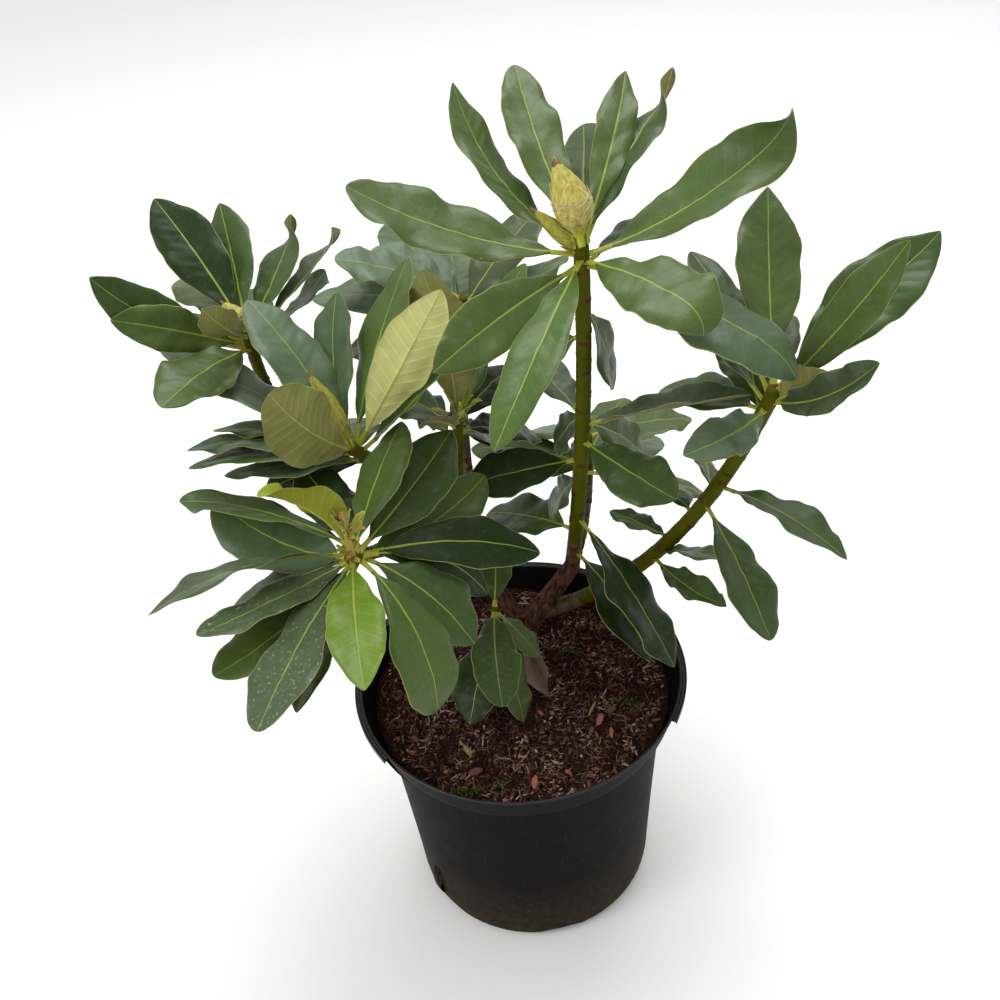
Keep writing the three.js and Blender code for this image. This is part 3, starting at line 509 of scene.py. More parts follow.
def chip(x, y, length, width, azimuth, tilt, draw, lift=0.9):
    """A flat angular shard of bark with a broken outline."""
    corners = 7
    uneven = np.array([0.35 * next(draw) for _ in range(corners)])
    turns = 2 * math.pi * (np.arange(corners) + uneven) / corners
    outline = np.stack([length / 2 * np.cos(turns), width / 2 * np.sin(turns), 0 * turns], axis=1)
    layers = np.concatenate([outline * 0.9 - (0, 0, 0.7), outline + (0, 0, 0.3), outline * 0.8 + (0, 0, 0.9)])
    shard = turned(layers, azimuth, tilt) + (x, y, soil_top(x, y) + lift)
    return swept(shard.reshape(3, corners, 3))


chips = Heap()
draw = seeded(419)
for _ in range(CHIPS):
    x, y = somewhere(draw, SOIL_RADIUS - 7)
    kind = 1 if next(draw) < 0.8 else 0
    length, width = 3 + 4 * next(draw) ** 2, 1.4 + 2 * next(draw)
    azimuth, tilt = ANY_TURN * next(draw), 0.9 * (next(draw) - 0.5)
    chips.add(*chip(x, y, length, width, azimuth, tilt, draw), kind)
for x, y, azimuth, length, width, kind in LARGE_CHIPS:
    chips.add(*chip(x, y, length, width, azimuth, 0.06, draw, lift=1.9), kind)
for _ in range(GRAINS):
    x, y = somewhere(draw)
    length, width, azimuth = 1.2 + 1.1 * next(draw), 1 + 0.7 * next(draw), ANY_TURN * next(draw)
    chips.add(*chip(x, y, length, width, azimuth, 0.4, draw), 3)
chip_finishes = [plain_finish(f"bark_chip_{k}", c, 0.8) for k, c in enumerate(CHIP_COLOURS)]
bark_chips = chips.piece("bark_chips", chip_finishes, smooth=False)

moss = Heap()
draw = seeded(431)
for middle_x, middle_y, spread, count in MOSS_PATCHES:
    for _ in range(count):
        x = middle_x + spread * (next(draw) - 0.5) * 2
        y = middle_y + spread * (next(draw) - 0.5)
        if math.hypot(x, y) > SOIL_RADIUS - 2:
            continue
        length, width, heading = 1.6 + 2.6 * next(draw), 0.5 + 0.5 * next(draw), ANY_TURN * next(draw)
        leaf = np.array([(0, 0, 0), (length * 0.5, width, 0.6), (length, 0, 0.9), (length * 0.5, -width, 0.6),
                         (length * 0.5, 0, -0.1)])
        placed = turned(leaf, heading, -0.3 - 0.8 * next(draw)) + (x, y, soil_top(x, y) + 0.6)
        moss.add(placed, MOSS_LEAF_FACES, int(2 * next(draw)))
moss_finishes = [plain_finish(f"moss_{k}", c, 0.7) for k, c in enumerate(MOSS_COLOURS)]
soil_moss = moss.piece("soil_moss", moss_finishes)

for loose in (soil_crumbs, bark_shreds, soil_fibres, bark_chips, soil_moss):
    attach(loose, "root")

# ---------------------------------------------------------------- trunk and boughs
# One short brown trunk leans out of the soil, and eight stems and a low shoot grow from it and from
# each other. Old wood is fissured and reddish brown. Young wood is smooth and olive green, with a
# lens-shaped scar where each fallen leaf sat.

# each limb is one curve (start, bend, end) with a radius at either end
LIMB = {
    "trunk": dict(start=(0, 62, 162), bend=(20, 60, 190), end=(46, 65, 226), radii=(7.6, 6)),
    "mainStem": dict(start=(45, 65, 223), bend=(59, 42, 368), end=(55, 20, 494), radii=(5.3, 4.4)),
    "rightStem": dict(start=(12, 62, 183), bend=(122, 60, 206), end=(160, -8, 406), radii=(5.8, 4.6)),
    "leftStem": dict(start=(2, 62, 181), bend=(-40, 88, 270), end=(-89, 20, 376), radii=(5.8, 4.2)),
    "farLeftStem": dict(start=(-20, 70, 226), bend=(-150, 95, 285), end=(-148, 80, 430), radii=(4.6, 3.8)),
    "frontStem": dict(start=(-41, 64, 275), bend=(-78, 10, 300), end=(-88, -58, 354), radii=(4.6, 4)),
    "middleStem": dict(start=(-24, 70, 236), bend=(-33, 76, 290), end=(-24, 60, 360), radii=(4.2, 3.6)),
    "backStem": dict(start=(-16, 70, 216), bend=(-32, 130, 280), end=(-14, 120, 417), radii=(4.2, 3.6)),
    "hindStem": dict(start=(48, 66, 232), bend=(64, 96, 258), end=(62, 92, 318), radii=(4, 3.4)),
    "lowShoot": dict(start=(4, 59, 182), bend=(-10, 36, 196), end=(-13, 20, 232), radii=(3.4, 2.8)),
}
PATH_STEPS = 48
FLARE_SWELL = 0.7                # how much thicker the trunk is where it leaves the soil
FLARE_HEIGHT = 9
RING_STEP = 1.1                  # distance between the rings of points along a limb
LIMB_SIDES = 32
LEAF_TURN = 137.5                # degrees round the stem from one leaf to the next
SCAR_HALF_HEIGHT = 1.8
SCAR_HALF_WIDTH = 3.5
RIDGE_LENGTH = 30                # of the fissures of old bark
OLD_BARK, BROWN_WOOD, GREEN_WOOD, SCAR = range(4)


def limb_point(limb, t):
    a, b, c = (np.array(limb[key], float) for key in ("start", "bend", "end"))
    return a * (1 - t) ** 2 + b * (2 * t * (1 - t)) + c * (t * t)


def limb_length(limb):
    points = np.array([limb_point(limb, k / PATH_STEPS) for k in range(PATH_STEPS + 1)])
    return np.linalg.norm(np.diff(points, axis=0), axis=1).sum()


def scar_places(length, draw):
    """Where the fallen leaves sat: each one's distance along the limb, and its turn round it."""
    scars = []
    place = 6 * next(draw)
    turn = ANY_TURN * next(draw)
    while place < length - 3:
        scars.append((place, turn))
        place += 6 + 8 * next(draw)
        turn += math.radians(LEAF_TURN)
    return scars


def limb_frame(limb, t):
    """A limb's centre at its share t, and two directions across it."""
    along = limb_point(limb, min(1, t + 0.01)) - limb_point(limb, max(0, t - 0.01))
    along /= np.linalg.norm(along)
    u = np.cross((0.31, 1, 0.17), along)
    u /= np.linalg.norm(u)
    return limb_point(limb, t), u, np.cross(along, u)


def limb_skin(limb, start, end, old_wood, seed):
    """A limb's bark between two of its shares, with its relief and a finish for each face.
    old_wood gives, for a height in mm, how far the wood has turned from green (0) to bark (1)."""
    length = limb_length(limb) * (end - start)
    steps = max(4, int(length / RING_STEP))
    scars = scar_places(length, seeded(seed))
    rings, finish = [], []
    for k in range(steps + 1):
        t = start + (end - start) * k / steps
        centre, u, v = limb_frame(limb, t)
        age = old_wood(centre[2])
        radius = limb["radii"][0] + (limb["radii"][1] - limb["radii"][0]) * t
        if limb is LIMB["trunk"]:
            radius *= 1 + FLARE_SWELL * math.exp(-max(0, centre[2] - SOIL_LEVEL) / FLARE_HEIGHT)
        distance = length * k / steps
        ring = []
        for s in range(LIMB_SIDES):
            angle = 2 * math.pi * s / LIMB_SIDES
            outward = u * math.cos(angle) + v * math.sin(angle)
            spot = Vector(centre + u * math.cos(angle) * radius + v * math.sin(angle) * radius)
            fissure = Vector((3 * math.cos(angle), 3 * math.sin(angle), seed + distance / RIDGE_LENGTH))
            ridges = noise.noise(fissure) + 0.5 * noise.noise(spot * 0.55)
            relief = age * 0.7 * ridges + 0.16 * noise.noise(spot * 0.2) + 0.1 * noise.noise(spot * 0.7)
            scarred = False
            for at, facing in scars:
                high = (distance - at) / SCAR_HALF_HEIGHT
                wide = radius * ((angle - facing + math.pi) % (2 * math.pi) - math.pi) / SCAR_HALF_WIDTH
                off = high * high + wide * wide
                if off < 2.2 and age < 0.8:
                    relief += 0.4 * math.exp(-(off - 1) ** 2 * 2) - 0.25 * math.exp(-off * 3)
                    scarred = scarred or off < 0.8
            ring.append(centre + outward * (radius + relief))
            mottle = age + 0.35 * noise.noise(spot * 0.12) + 0.2 * noise.noise(spot * 0.5)
            wood = OLD_BARK if mottle > 0.75 else BROWN_WOOD if mottle > 0.35 else GREEN_WOOD
            finish.append(SCAR if scarred else wood)
        rings.append(ring)
    points, faces = swept(rings)
    return points, faces, finish[: steps * LIMB_SIDES] + [finish[0], finish[-1]]


def bark(name, dark, light, streaks, grain, roughness, relief_mm, shine, sharp=False):
    """Bark or young wood. streaks and grain each give the size of their lumps, their detail and how
    far they run up the limb. Sharp streaks stand out from the ground colour."""
    finish = Finish(name)
    streak = finish.noise(streaks[0], streaks[1], stretch=(1, 1, streaks[2]))
    if sharp:
        streak = finish.between(streak, 0.35, 0.7)
    relief = finish.noise(grain[0], grain[1], stretch=(1, 1, grain[2]))
    return finish.close(finish.mix(dark, light, streak), roughness, relief, relief_mm, shine)


WOOD = [bark("old_bark", (0.03, 0.0115, 0.0085), (0.17, 0.072, 0.05), (3, 6, 4), (1.2, 6, 3),
             0.88, 0.9, 0.1, sharp=True),
        bark("brown_wood", (0.065, 0.035, 0.018), (0.13, 0.085, 0.03), (4, 5, 5), (1, 4, 3),
             0.66, 0.3, 0.5, sharp=True),
        bark("green_wood", (0.042, 0.043, 0.001), (0.09, 0.097, 0.002), (7, 4, 3), (0.8, 3, 4),
             0.55, 0.1, 0.06),
        bark("leaf_scar", (0.03, 0.013, 0.004), (0.1, 0.045, 0.014), (0.9, 3, 1), (0.6, 3, 1), 0.7, 0.2, 0.1)]


def wood_age(base, full):
    """Old bark below `base` mm of height, green wood above `full`."""
    return lambda z: min(1, max(0, (full - z) / (full - base)))


# Each bough: its limb, the shares where it starts and ends, the heights where its bark turns from
# brown to green, and a seed for its scars.
BOUGHS = {
    "trunk": ("trunk", 0, 1, (228, 260), 3),
    "main_stem": ("mainStem", 0.54, 0.7, (228, 262), 5),
    "hind_stem": ("hindStem", 0, 0.55, (236, 300), 7),
    "right_stem_lower": ("rightStem", 0, 0.45, (176, 208), 11),
    "right_stem_upper": ("rightStem", 0.8, 0.9, (176, 208), 13),
    "left_stem": ("leftStem", 0, 0.88, (240, 330), 17),
    "far_left_stem": ("farLeftStem", 0, 0.86, (260, 380), 19),
    "front_left_stem": ("frontStem", 0, 0.8, (280, 350), 23),
    "middle_stem": ("middleStem", 0, 0.8, (250, 330), 29),
    "back_stem": ("backStem", 0, 0.85, (250, 360), 31),
    "low_shoot_stem": ("lowShoot", 0, 0.72, (180, 205), 37),
}
AGE_OF_LIMB = {limb: wood_age(*heights) for limb, _, _, heights, _ in BOUGHS.values()}

for name, (limb_name, start, end, heights, seed) in BOUGHS.items():
    skin, faces, finish = limb_skin(LIMB[limb_name], start, end, wood_age(*heights), seed)
    bough = mesh_piece(f"{name}_bark", skin, faces, WOOD, finish)
    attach(bough, "root")
    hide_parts(name)
    "bark" if name == "trunk" else "green_wood"

# ---------------------------------------------------------------- leaves
# Evergreen leathery leaves, most of them 9 to 14 cm long: a channelled yellow-green stalk, a long
# oval blade, glossy green above and dull olive beneath, a pale midrib that stands out below, about
# twelve pairs of sunken side veins, and a thin pale margin that rolls down. The margin's paleness is
# partly painted highlight, for the light that its rolled edge catches.

PETIOLE_SHARE = 0.13             # share of a leaf's length that is stalk
PETIOLE_HALF_WIDTH = 1.5
STALK_RADIUS = 1.45
BLADE_HALF_THICKNESS = 0.24
CURL_START = 0.72
TWIST_START = 0.62
VEIN_PAIRS = 12
VEIN_SLANT = 0.13                # how far forward a side vein runs, as a share of the blade
VEIN_SHARE = 0.04                # half of a side vein's width, as a share of the way to the next
ROW_SHIFTS = (0, 0.08, 0.38, 0.7)
TIP_ROWS = (0.978, 0.989, 0.9965, 0.9997)
STALK_ROWS = np.array([0, 0.25, 0.5, 0.75])
RIB_COLUMN = 0.05                # marks the column of points at the midrib's edge
COLUMN_SHARES = (0.12, 0.28, 0.46, 0.64, 0.8, 0.92, 0.975, 1)
BROAD_PUCKER, SMALL_PUCKER = 0.65, 0.4
UPPER, VEIN, UNDER, VEIN_BELOW, STALK, RIB_ABOVE, RIB_BELOW, MARGIN, STALK_FOOT = range(9)


def aimed(azimuth, rise):
    """The unit direction of an azimuth and a rise above the horizontal, in degrees."""
    az, tilt = math.radians(azimuth), math.radians(rise)
    return np.array([math.cos(az) * math.cos(tilt), math.sin(az) * math.cos(tilt), math.sin(tilt)])


def leaf_path(leaf, steps=PATH_STEPS):
    """The midrib's points, and the blade's side and upper direction at each of them."""
    chord, up = aimed(leaf["azimuth"], leaf["rise"]), aimed(leaf["azimuth"], leaf["rise"] + 90)
    side = np.cross(chord, up)

    def heading(s):
        late = np.maximum(0, (s - CURL_START) / (1 - CURL_START))
        pitch = np.radians(leaf["arch"] * (0.5 - s) - leaf["curl"] * late * late)[:, None]
        yaw = np.radians(leaf["sweep"] * (s - 0.5))[:, None]
        way = chord * np.cos(pitch) * np.cos(yaw) + up * np.sin(pitch) + side * np.cos(pitch) * np.sin(yaw)
        return way / np.linalg.norm(way, axis=1)[:, None]

    s = np.arange(steps + 1) / steps
    strides = heading(s[1:] - 0.5 / steps) * leaf["length"] / steps
    points = leaf["root"] + np.concatenate([np.zeros((1, 3)), np.cumsum(strides, axis=0)])
    along = heading(s)
    flat = side - along * (along @ side)[:, None]
    flat /= np.linalg.norm(flat, axis=1)[:, None]
    top = np.cross(flat, along)
    late = np.maximum(0, (s - TWIST_START) / (1 - TWIST_START))
    turned_by = leaf["roll"] + leaf.get("twist", 0) * (s - 0.5) + leaf.get("tip_twist", 0) * late * late
    turn = np.radians(turned_by)[:, None]
    return s, points, flat * np.cos(turn) + top * np.sin(turn), top * np.cos(turn) - flat * np.sin(turn)


def blade_outline(b, bluntness, lateness):
    """Half widths from 0 to 1. A low bluntness gives a boxy blade, a high lateness a broad end."""
    return np.sin(np.pi * np.clip(b, 0, 1) ** lateness) ** bluntness


def blade_rows(pairs):
    """Where the rows of a blade cross its midrib, from 0 to 1, and how far each lies from a vein."""
    rows, veins = [], []
    for k in range(pairs):
        for shift in ROW_SHIFTS:
            rows.append(0.02 + 0.94 * (k + shift) / pairs)
            veins.append(shift)
    return np.array([0] + rows + list(TIP_ROWS)), np.array([0.5] + veins + [0.5] * len(TIP_ROWS))


def dimples(down_leaf, across_leaf, long, wide, spot):
    """Noise from -1 to 1 over a blade, in dimples of a length and a width in millimetres."""
    places = zip(down_leaf.flat, across_leaf.flat)
    depths = [noise.noise(Vector((a / long, b / wide, spot))) for a, b in places]
    return np.array(depths).reshape(across_leaf.shape)


def blade_surfaces(in_vein, columns):
    """Which of a leaf's surfaces each face is, in rows of faces that run once round the leaf."""
    width = 2 * (columns - 1)
    surface = np.empty((len(in_vein), width), dtype=int)
    surface[:, : columns - 1] = UPPER
    surface[:, columns - 1:] = UNDER
    surface[in_vein, 2: columns - 3] = VEIN
    surface[in_vein, columns + 1: width - 2] = VEIN_BELOW
    surface[:, [0, columns - 2, columns - 1, width - 1]] = MARGIN
    above = (columns - 1) // 2
    below = columns - 1 + above
    surface[:, above - 1: above + 1] = RIB_ABOVE
    surface[:, below - 1: below + 1] = RIB_BELOW
    surface[: len(STALK_ROWS)] = STALK
    surface[0] = STALK_FOOT
    return surface.reshape(-1).tolist()


def leaf_skin(leaf, draw):
    """One leaf's points and faces, and for each face which of its nine surfaces it is. The leaf is
    one closed skin whose rows run along the side veins."""
    path_s, points, sides, tops = leaf_path(leaf, 96)
    stalk = PETIOLE_SHARE
    crossings, vein_shifts = blade_rows(leaf.get("vein_pairs", VEIN_PAIRS))
    no_blade = np.zeros(len(STALK_ROWS))
    g = np.concatenate([no_blade, crossings])[:, None]
    in_blade = np.concatenate([no_blade, np.ones(len(crossings))])[:, None]
    stalk_s = np.concatenate([STALK_ROWS * stalk, np.full(len(crossings), stalk)])[:, None]
    across = np.array([0, RIB_COLUMN] + list(COLUMN_SHARES))
    v = np.concatenate([-across[::-1], across[1:]])[None, :]
    spread = np.abs(v)
    slanted = g + VEIN_SLANT * leaf.get("slant", 1) * spread ** 0.9 * 4 * g * (1 - g)
    s = stalk_s + (1 - stalk) * slanted * in_blade
    b = (s - stalk) / (1 - stalk)
    waves = [next(draw) * ANY_TURN for _ in range(4)]
    dealt = [next(draw) for _ in range(4)]
    right = np.where(v < 0, 0.0, 1.0)

    # how wide the leaf is at each row, and how far out each point lies
    ragged = 1 + 0.03 * np.sin(b * 17 + waves[0] + 2.1 * right) + 0.014 * np.sin(b * 41 + waves[1] + right)
    bluntness, lateness = leaf.get("blunt", 0.56 + 0.2 * dealt[0]), leaf.get("late", 1.2)
    outline = leaf["width"] / 2 * blade_outline(b, bluntness, lateness)
    half = np.where(b > 0.9, outline, np.maximum(PETIOLE_HALF_WIDTH, outline * ragged))
    half = half + PETIOLE_HALF_WIDTH * 0.9 * np.clip(1 - s / stalk, 0, 1) ** 2
    rib = np.minimum(0.4 * half, 0.56 * np.clip(1 - b, 0, 1) ** 0.8 + 0.12)
    beside_rib = np.where(spread == RIB_COLUMN, rib, 0)
    x = np.where(spread > RIB_COLUMN, rib + (half - rib) * spread, beside_rib) * np.sign(v)
    share = np.abs(x) / half

    # how high each point stands: folded up from the midrib, waved, rolled down, quilted and puckered
    fade = np.clip(b * 6, 0, 1) * np.clip((1 - b) * 5, 0, 1)
    count = 1.6 + 1.6 * dealt[1]
    ripples = (np.sin(b * 2 * np.pi * count + waves[2] + 2.4 * right)
               + 0.35 * np.sin(b * 2 * np.pi * (2.3 + count) + waves[3] - right))
    wave = leaf.get("wave", 0.7 + 1.6 * dealt[2]) * fade * share ** 2 * ripples
    fold = leaf.get("fold", 0.04 + 0.16 * dealt[3])
    rolled = leaf.get("rolled", 0.1) * half * np.clip((share - 0.7) / 0.3, 0, 1) ** 2
    phase = np.concatenate([np.full(len(STALK_ROWS), 0.5), vein_shifts])[:, None]
    pillow = np.sin(np.pi * np.clip((phase - VEIN_SHARE) / (1 - 2 * VEIN_SHARE), 0, 1)) ** 0.7 - 0.6
    quilted = leaf.get("quilt", 0.16) * pillow * fade * np.clip(share * 4, 0, 1) * (1 - share ** 2)
    down, spot = s * leaf["length"], 9 * dealt[0] + 20 * dealt[3]
    puckers = BROAD_PUCKER * dimples(down, x, 11, 8, spot) + SMALL_PUCKER * dimples(down, x, 5, 4, spot + 7)
    puckered = leaf.get("pucker", 1) * puckers * fade
    lift = half * (fold * share ** 1.3) + wave - rolled + in_blade * quilted + in_blade * puckered
    x = x * np.cos(np.arctan(fold))

    # how thick it is there: a round stalk that runs into a thin blade, and the midrib
    round_stalk = STALK_RADIUS * np.sqrt(np.clip(1 - share ** 2, 0, 1))
    thin = BLADE_HALF_THICKNESS * (1 - 0.5 * share)
    joining = np.clip(1 - b * 9, 0, 1) ** 2 * np.clip(PETIOLE_HALF_WIDTH * 1.6 / half, 0, 1)
    on_rib = rib * np.where(share < 0.02, 1, 0) * in_blade
    above = thin + (round_stalk * 0.55 - thin) * joining - 0.35 * on_rib
    below = thin + (round_stalk - thin) * joining + 0.9 * on_rib

    def at(values):
        return np.stack([np.interp(s, path_s, values[:, k]) for k in range(3)], axis=-1)

    base, upward = at(points) + at(sides) * x[..., None], at(tops)
    upper = base + upward * (lift + above)[..., None]
    lower = base + upward * (lift - below)[..., None]
    skin, faces = swept(np.concatenate([upper, lower[:, -2:0:-1]], axis=1))
    in_vein = (phase[:-1, 0] < VEIN_SHARE) & (in_blade[:-1, 0] > 0)
    return skin, faces, blade_surfaces(in_vein, x.shape[1]) + [STALK, MARGIN]


# Upper face, its veins and the under face of each tone of leaf. All tones share the other finishes.
LEAF_TONES = {
    "deep": ((0.033, 0.062, 0.01), (0.04, 0.074, 0.013), (0.17, 0.17, 0.05)),
    # painted shade: a darker, duller copy of the leaf green, dealt to leaves that lie in the plant's own
    # shade
    "shade": ((0.012, 0.026, 0.004), (0.016, 0.034, 0.005), (0.1, 0.1, 0.03)),
    "blue": ((0.05, 0.084, 0.034), (0.059, 0.096, 0.039), (0.2, 0.21, 0.075)),
    # painted sheen: a paler, bluer copy of the leaf green that stands in for the sky's reflection on these
    # leaves
    "painted_sheen": ((0.078, 0.12, 0.06), (0.088, 0.132, 0.066), (0.22, 0.23, 0.085)),
    "mid": ((0.052, 0.087, 0.015), (0.062, 0.101, 0.019), (0.21, 0.21, 0.06)),
    "dull": ((0.042, 0.062, 0.022), (0.049, 0.071, 0.026), (0.18, 0.175, 0.06)),
    "bright": ((0.046, 0.09, 0.01), (0.056, 0.105, 0.014), (0.2, 0.2, 0.06)),
    "fresh": ((0.09, 0.155, 0.006), (0.12, 0.2, 0.012), (0.2, 0.28, 0.03)),
    "young": ((0.19, 0.25, 0.01), (0.23, 0.29, 0.015), (0.26, 0.27, 0.02)),
    # the khaki underside is partly painted light: a much paler copy of the olive underside, standing in for
    # strong light on the undersides that show it
    "khaki": ((0.05, 0.085, 0.02), (0.058, 0.096, 0.024), (0.66, 0.66, 0.24)),
    "olive": ((0.045, 0.075, 0.017), (0.052, 0.085, 0.02), (0.27, 0.262, 0.082)),
    "sprout": ((0.34, 0.27, 0.05), (0.38, 0.31, 0.06), (0.4, 0.24, 0.07)),
    "russet": ((0.3, 0.14, 0.04), (0.33, 0.17, 0.05), (0.34, 0.15, 0.06)),
    "dusty": ((0.045, 0.07, 0.028), (0.052, 0.08, 0.032), (0.17, 0.17, 0.06)),
    "dry": ((0.24, 0.155, 0.125), (0.32, 0.22, 0.18), (0.36, 0.26, 0.22)),
}
TONE_NAMES = list(LEAF_TONES)
COMMON_TONES = ("deep", "blue", "mid", "dull", "deep", "bright", "mid")


def upper_face(name, colour, vein=False):
    """Glossy and slightly uneven, with a bloom of dust that the veins don't carry."""
    finish = Finish(name)
    pale = tuple(c * 1.45 + 0.004 for c in colour)
    tone = finish.mix(colour, pale, finish.between(finish.noise(22, 4), 0.35, 0.75) * 0.5)
    if not vein:
        dust = finish.between(finish.noise(5, 6), 0.58, 0.8) * 0.12
        if "dusty" in name:
            dust = dust + finish.between(finish.noise(1.8, 3), 0.6, 0.7) * 0.55
        tone = finish.mix(tone, LEAF_DUST, dust)
    gloss = 0.3 + finish.noise(12, 4) * 0.2
    relief = finish.noise(0.9, 3) * 0.3 + finish.noise(2.6, 3) * 1.5 + finish.noise(6, 2) * 2
    # the painted shade tone also shines less
    return finish.close(tone, gloss, relief, 0.08, shine=0.16 if "shade" in name else 0.31)


def under_face(name, colour):
    """Matt, and a little darker in patches."""
    finish = Finish(name)
    tone = finish.mix(tuple(c * 0.72 for c in colour), colour, finish.noise(9, 5))
    return finish.close(tone, 0.7, finish.noise(0.6, 3), 0.08, shine=0.25)


LEAF_DUST = (0.3, 0.33, 0.27)
TONE_SURFACES = 4                # of the nine, those that each tone has for itself
LEAF_FINISHES = []
for tone_name, (upper, vein, under) in LEAF_TONES.items():
    LEAF_FINISHES.append(upper_face(f"leaf_{tone_name}", upper))
    LEAF_FINISHES.append(upper_face(f"leaf_{tone_name}_vein", vein, vein=True))
    LEAF_FINISHES.append(under_face(f"leaf_{tone_name}_underside", under))
    vein_below = tuple(c * 1.22 + 0.01 for c in under)
    LEAF_FINISHES.append(under_face(f"leaf_{tone_name}_underside_vein", vein_below))
SHARED_FIRST = len(LEAF_FINISHES)
for name, colour, roughness, shine in (("leaf_stalk", (0.38, 0.39, 0.032), 0.45, 0.25),
                                       ("leaf_midrib", (0.27, 0.35, 0.04), 0.45, 0.25),
                                       ("leaf_midrib_beneath", (0.48, 0.48, 0.14), 0.55, 0.1),
                                       # partly painted highlight: the margin is paler to stand in for the
                                       # light that its rolled edge catches
                                       ("leaf_margin", (0.3, 0.35, 0.1), 0.5, 0.1),
                                       ("leaf_stalk_foot", (0.2, 0.075, 0.03), 0.6, 0.1)):
    LEAF_FINISHES.append(plain_finish(name, colour, roughness, shine))


def leaf_into(heap, leaf, draw):
    """Adds one leaf to a heap, in its own tone or one that is dealt to it."""
    skin, faces, surface = leaf_skin(leaf, draw)
    dealt_tone = COMMON_TONES[int(next(draw) * len(COMMON_TONES))]
    first = TONE_SURFACES * TONE_NAMES.index(leaf.get("tone", dealt_tone))
    heap.add(skin, faces, [first + k if k < STALK else SHARED_FIRST + k - STALK for k in surface])


# ---------------------------------------------------------------- masses of leaves
# The leaves stand in whorls on the tips of the stems and singly down their sides. A mass is the
# leafy end, or a leafy stretch, of one limb, between its shares `start` and `end`.

DEFAULT_ARCH = 25
LEAF_SPACING = 1.5               # down the limb, from one leaf of a whorl to the next
SWEEP_RANGE = 8                  # degrees of sideways bend that are dealt to a leaf
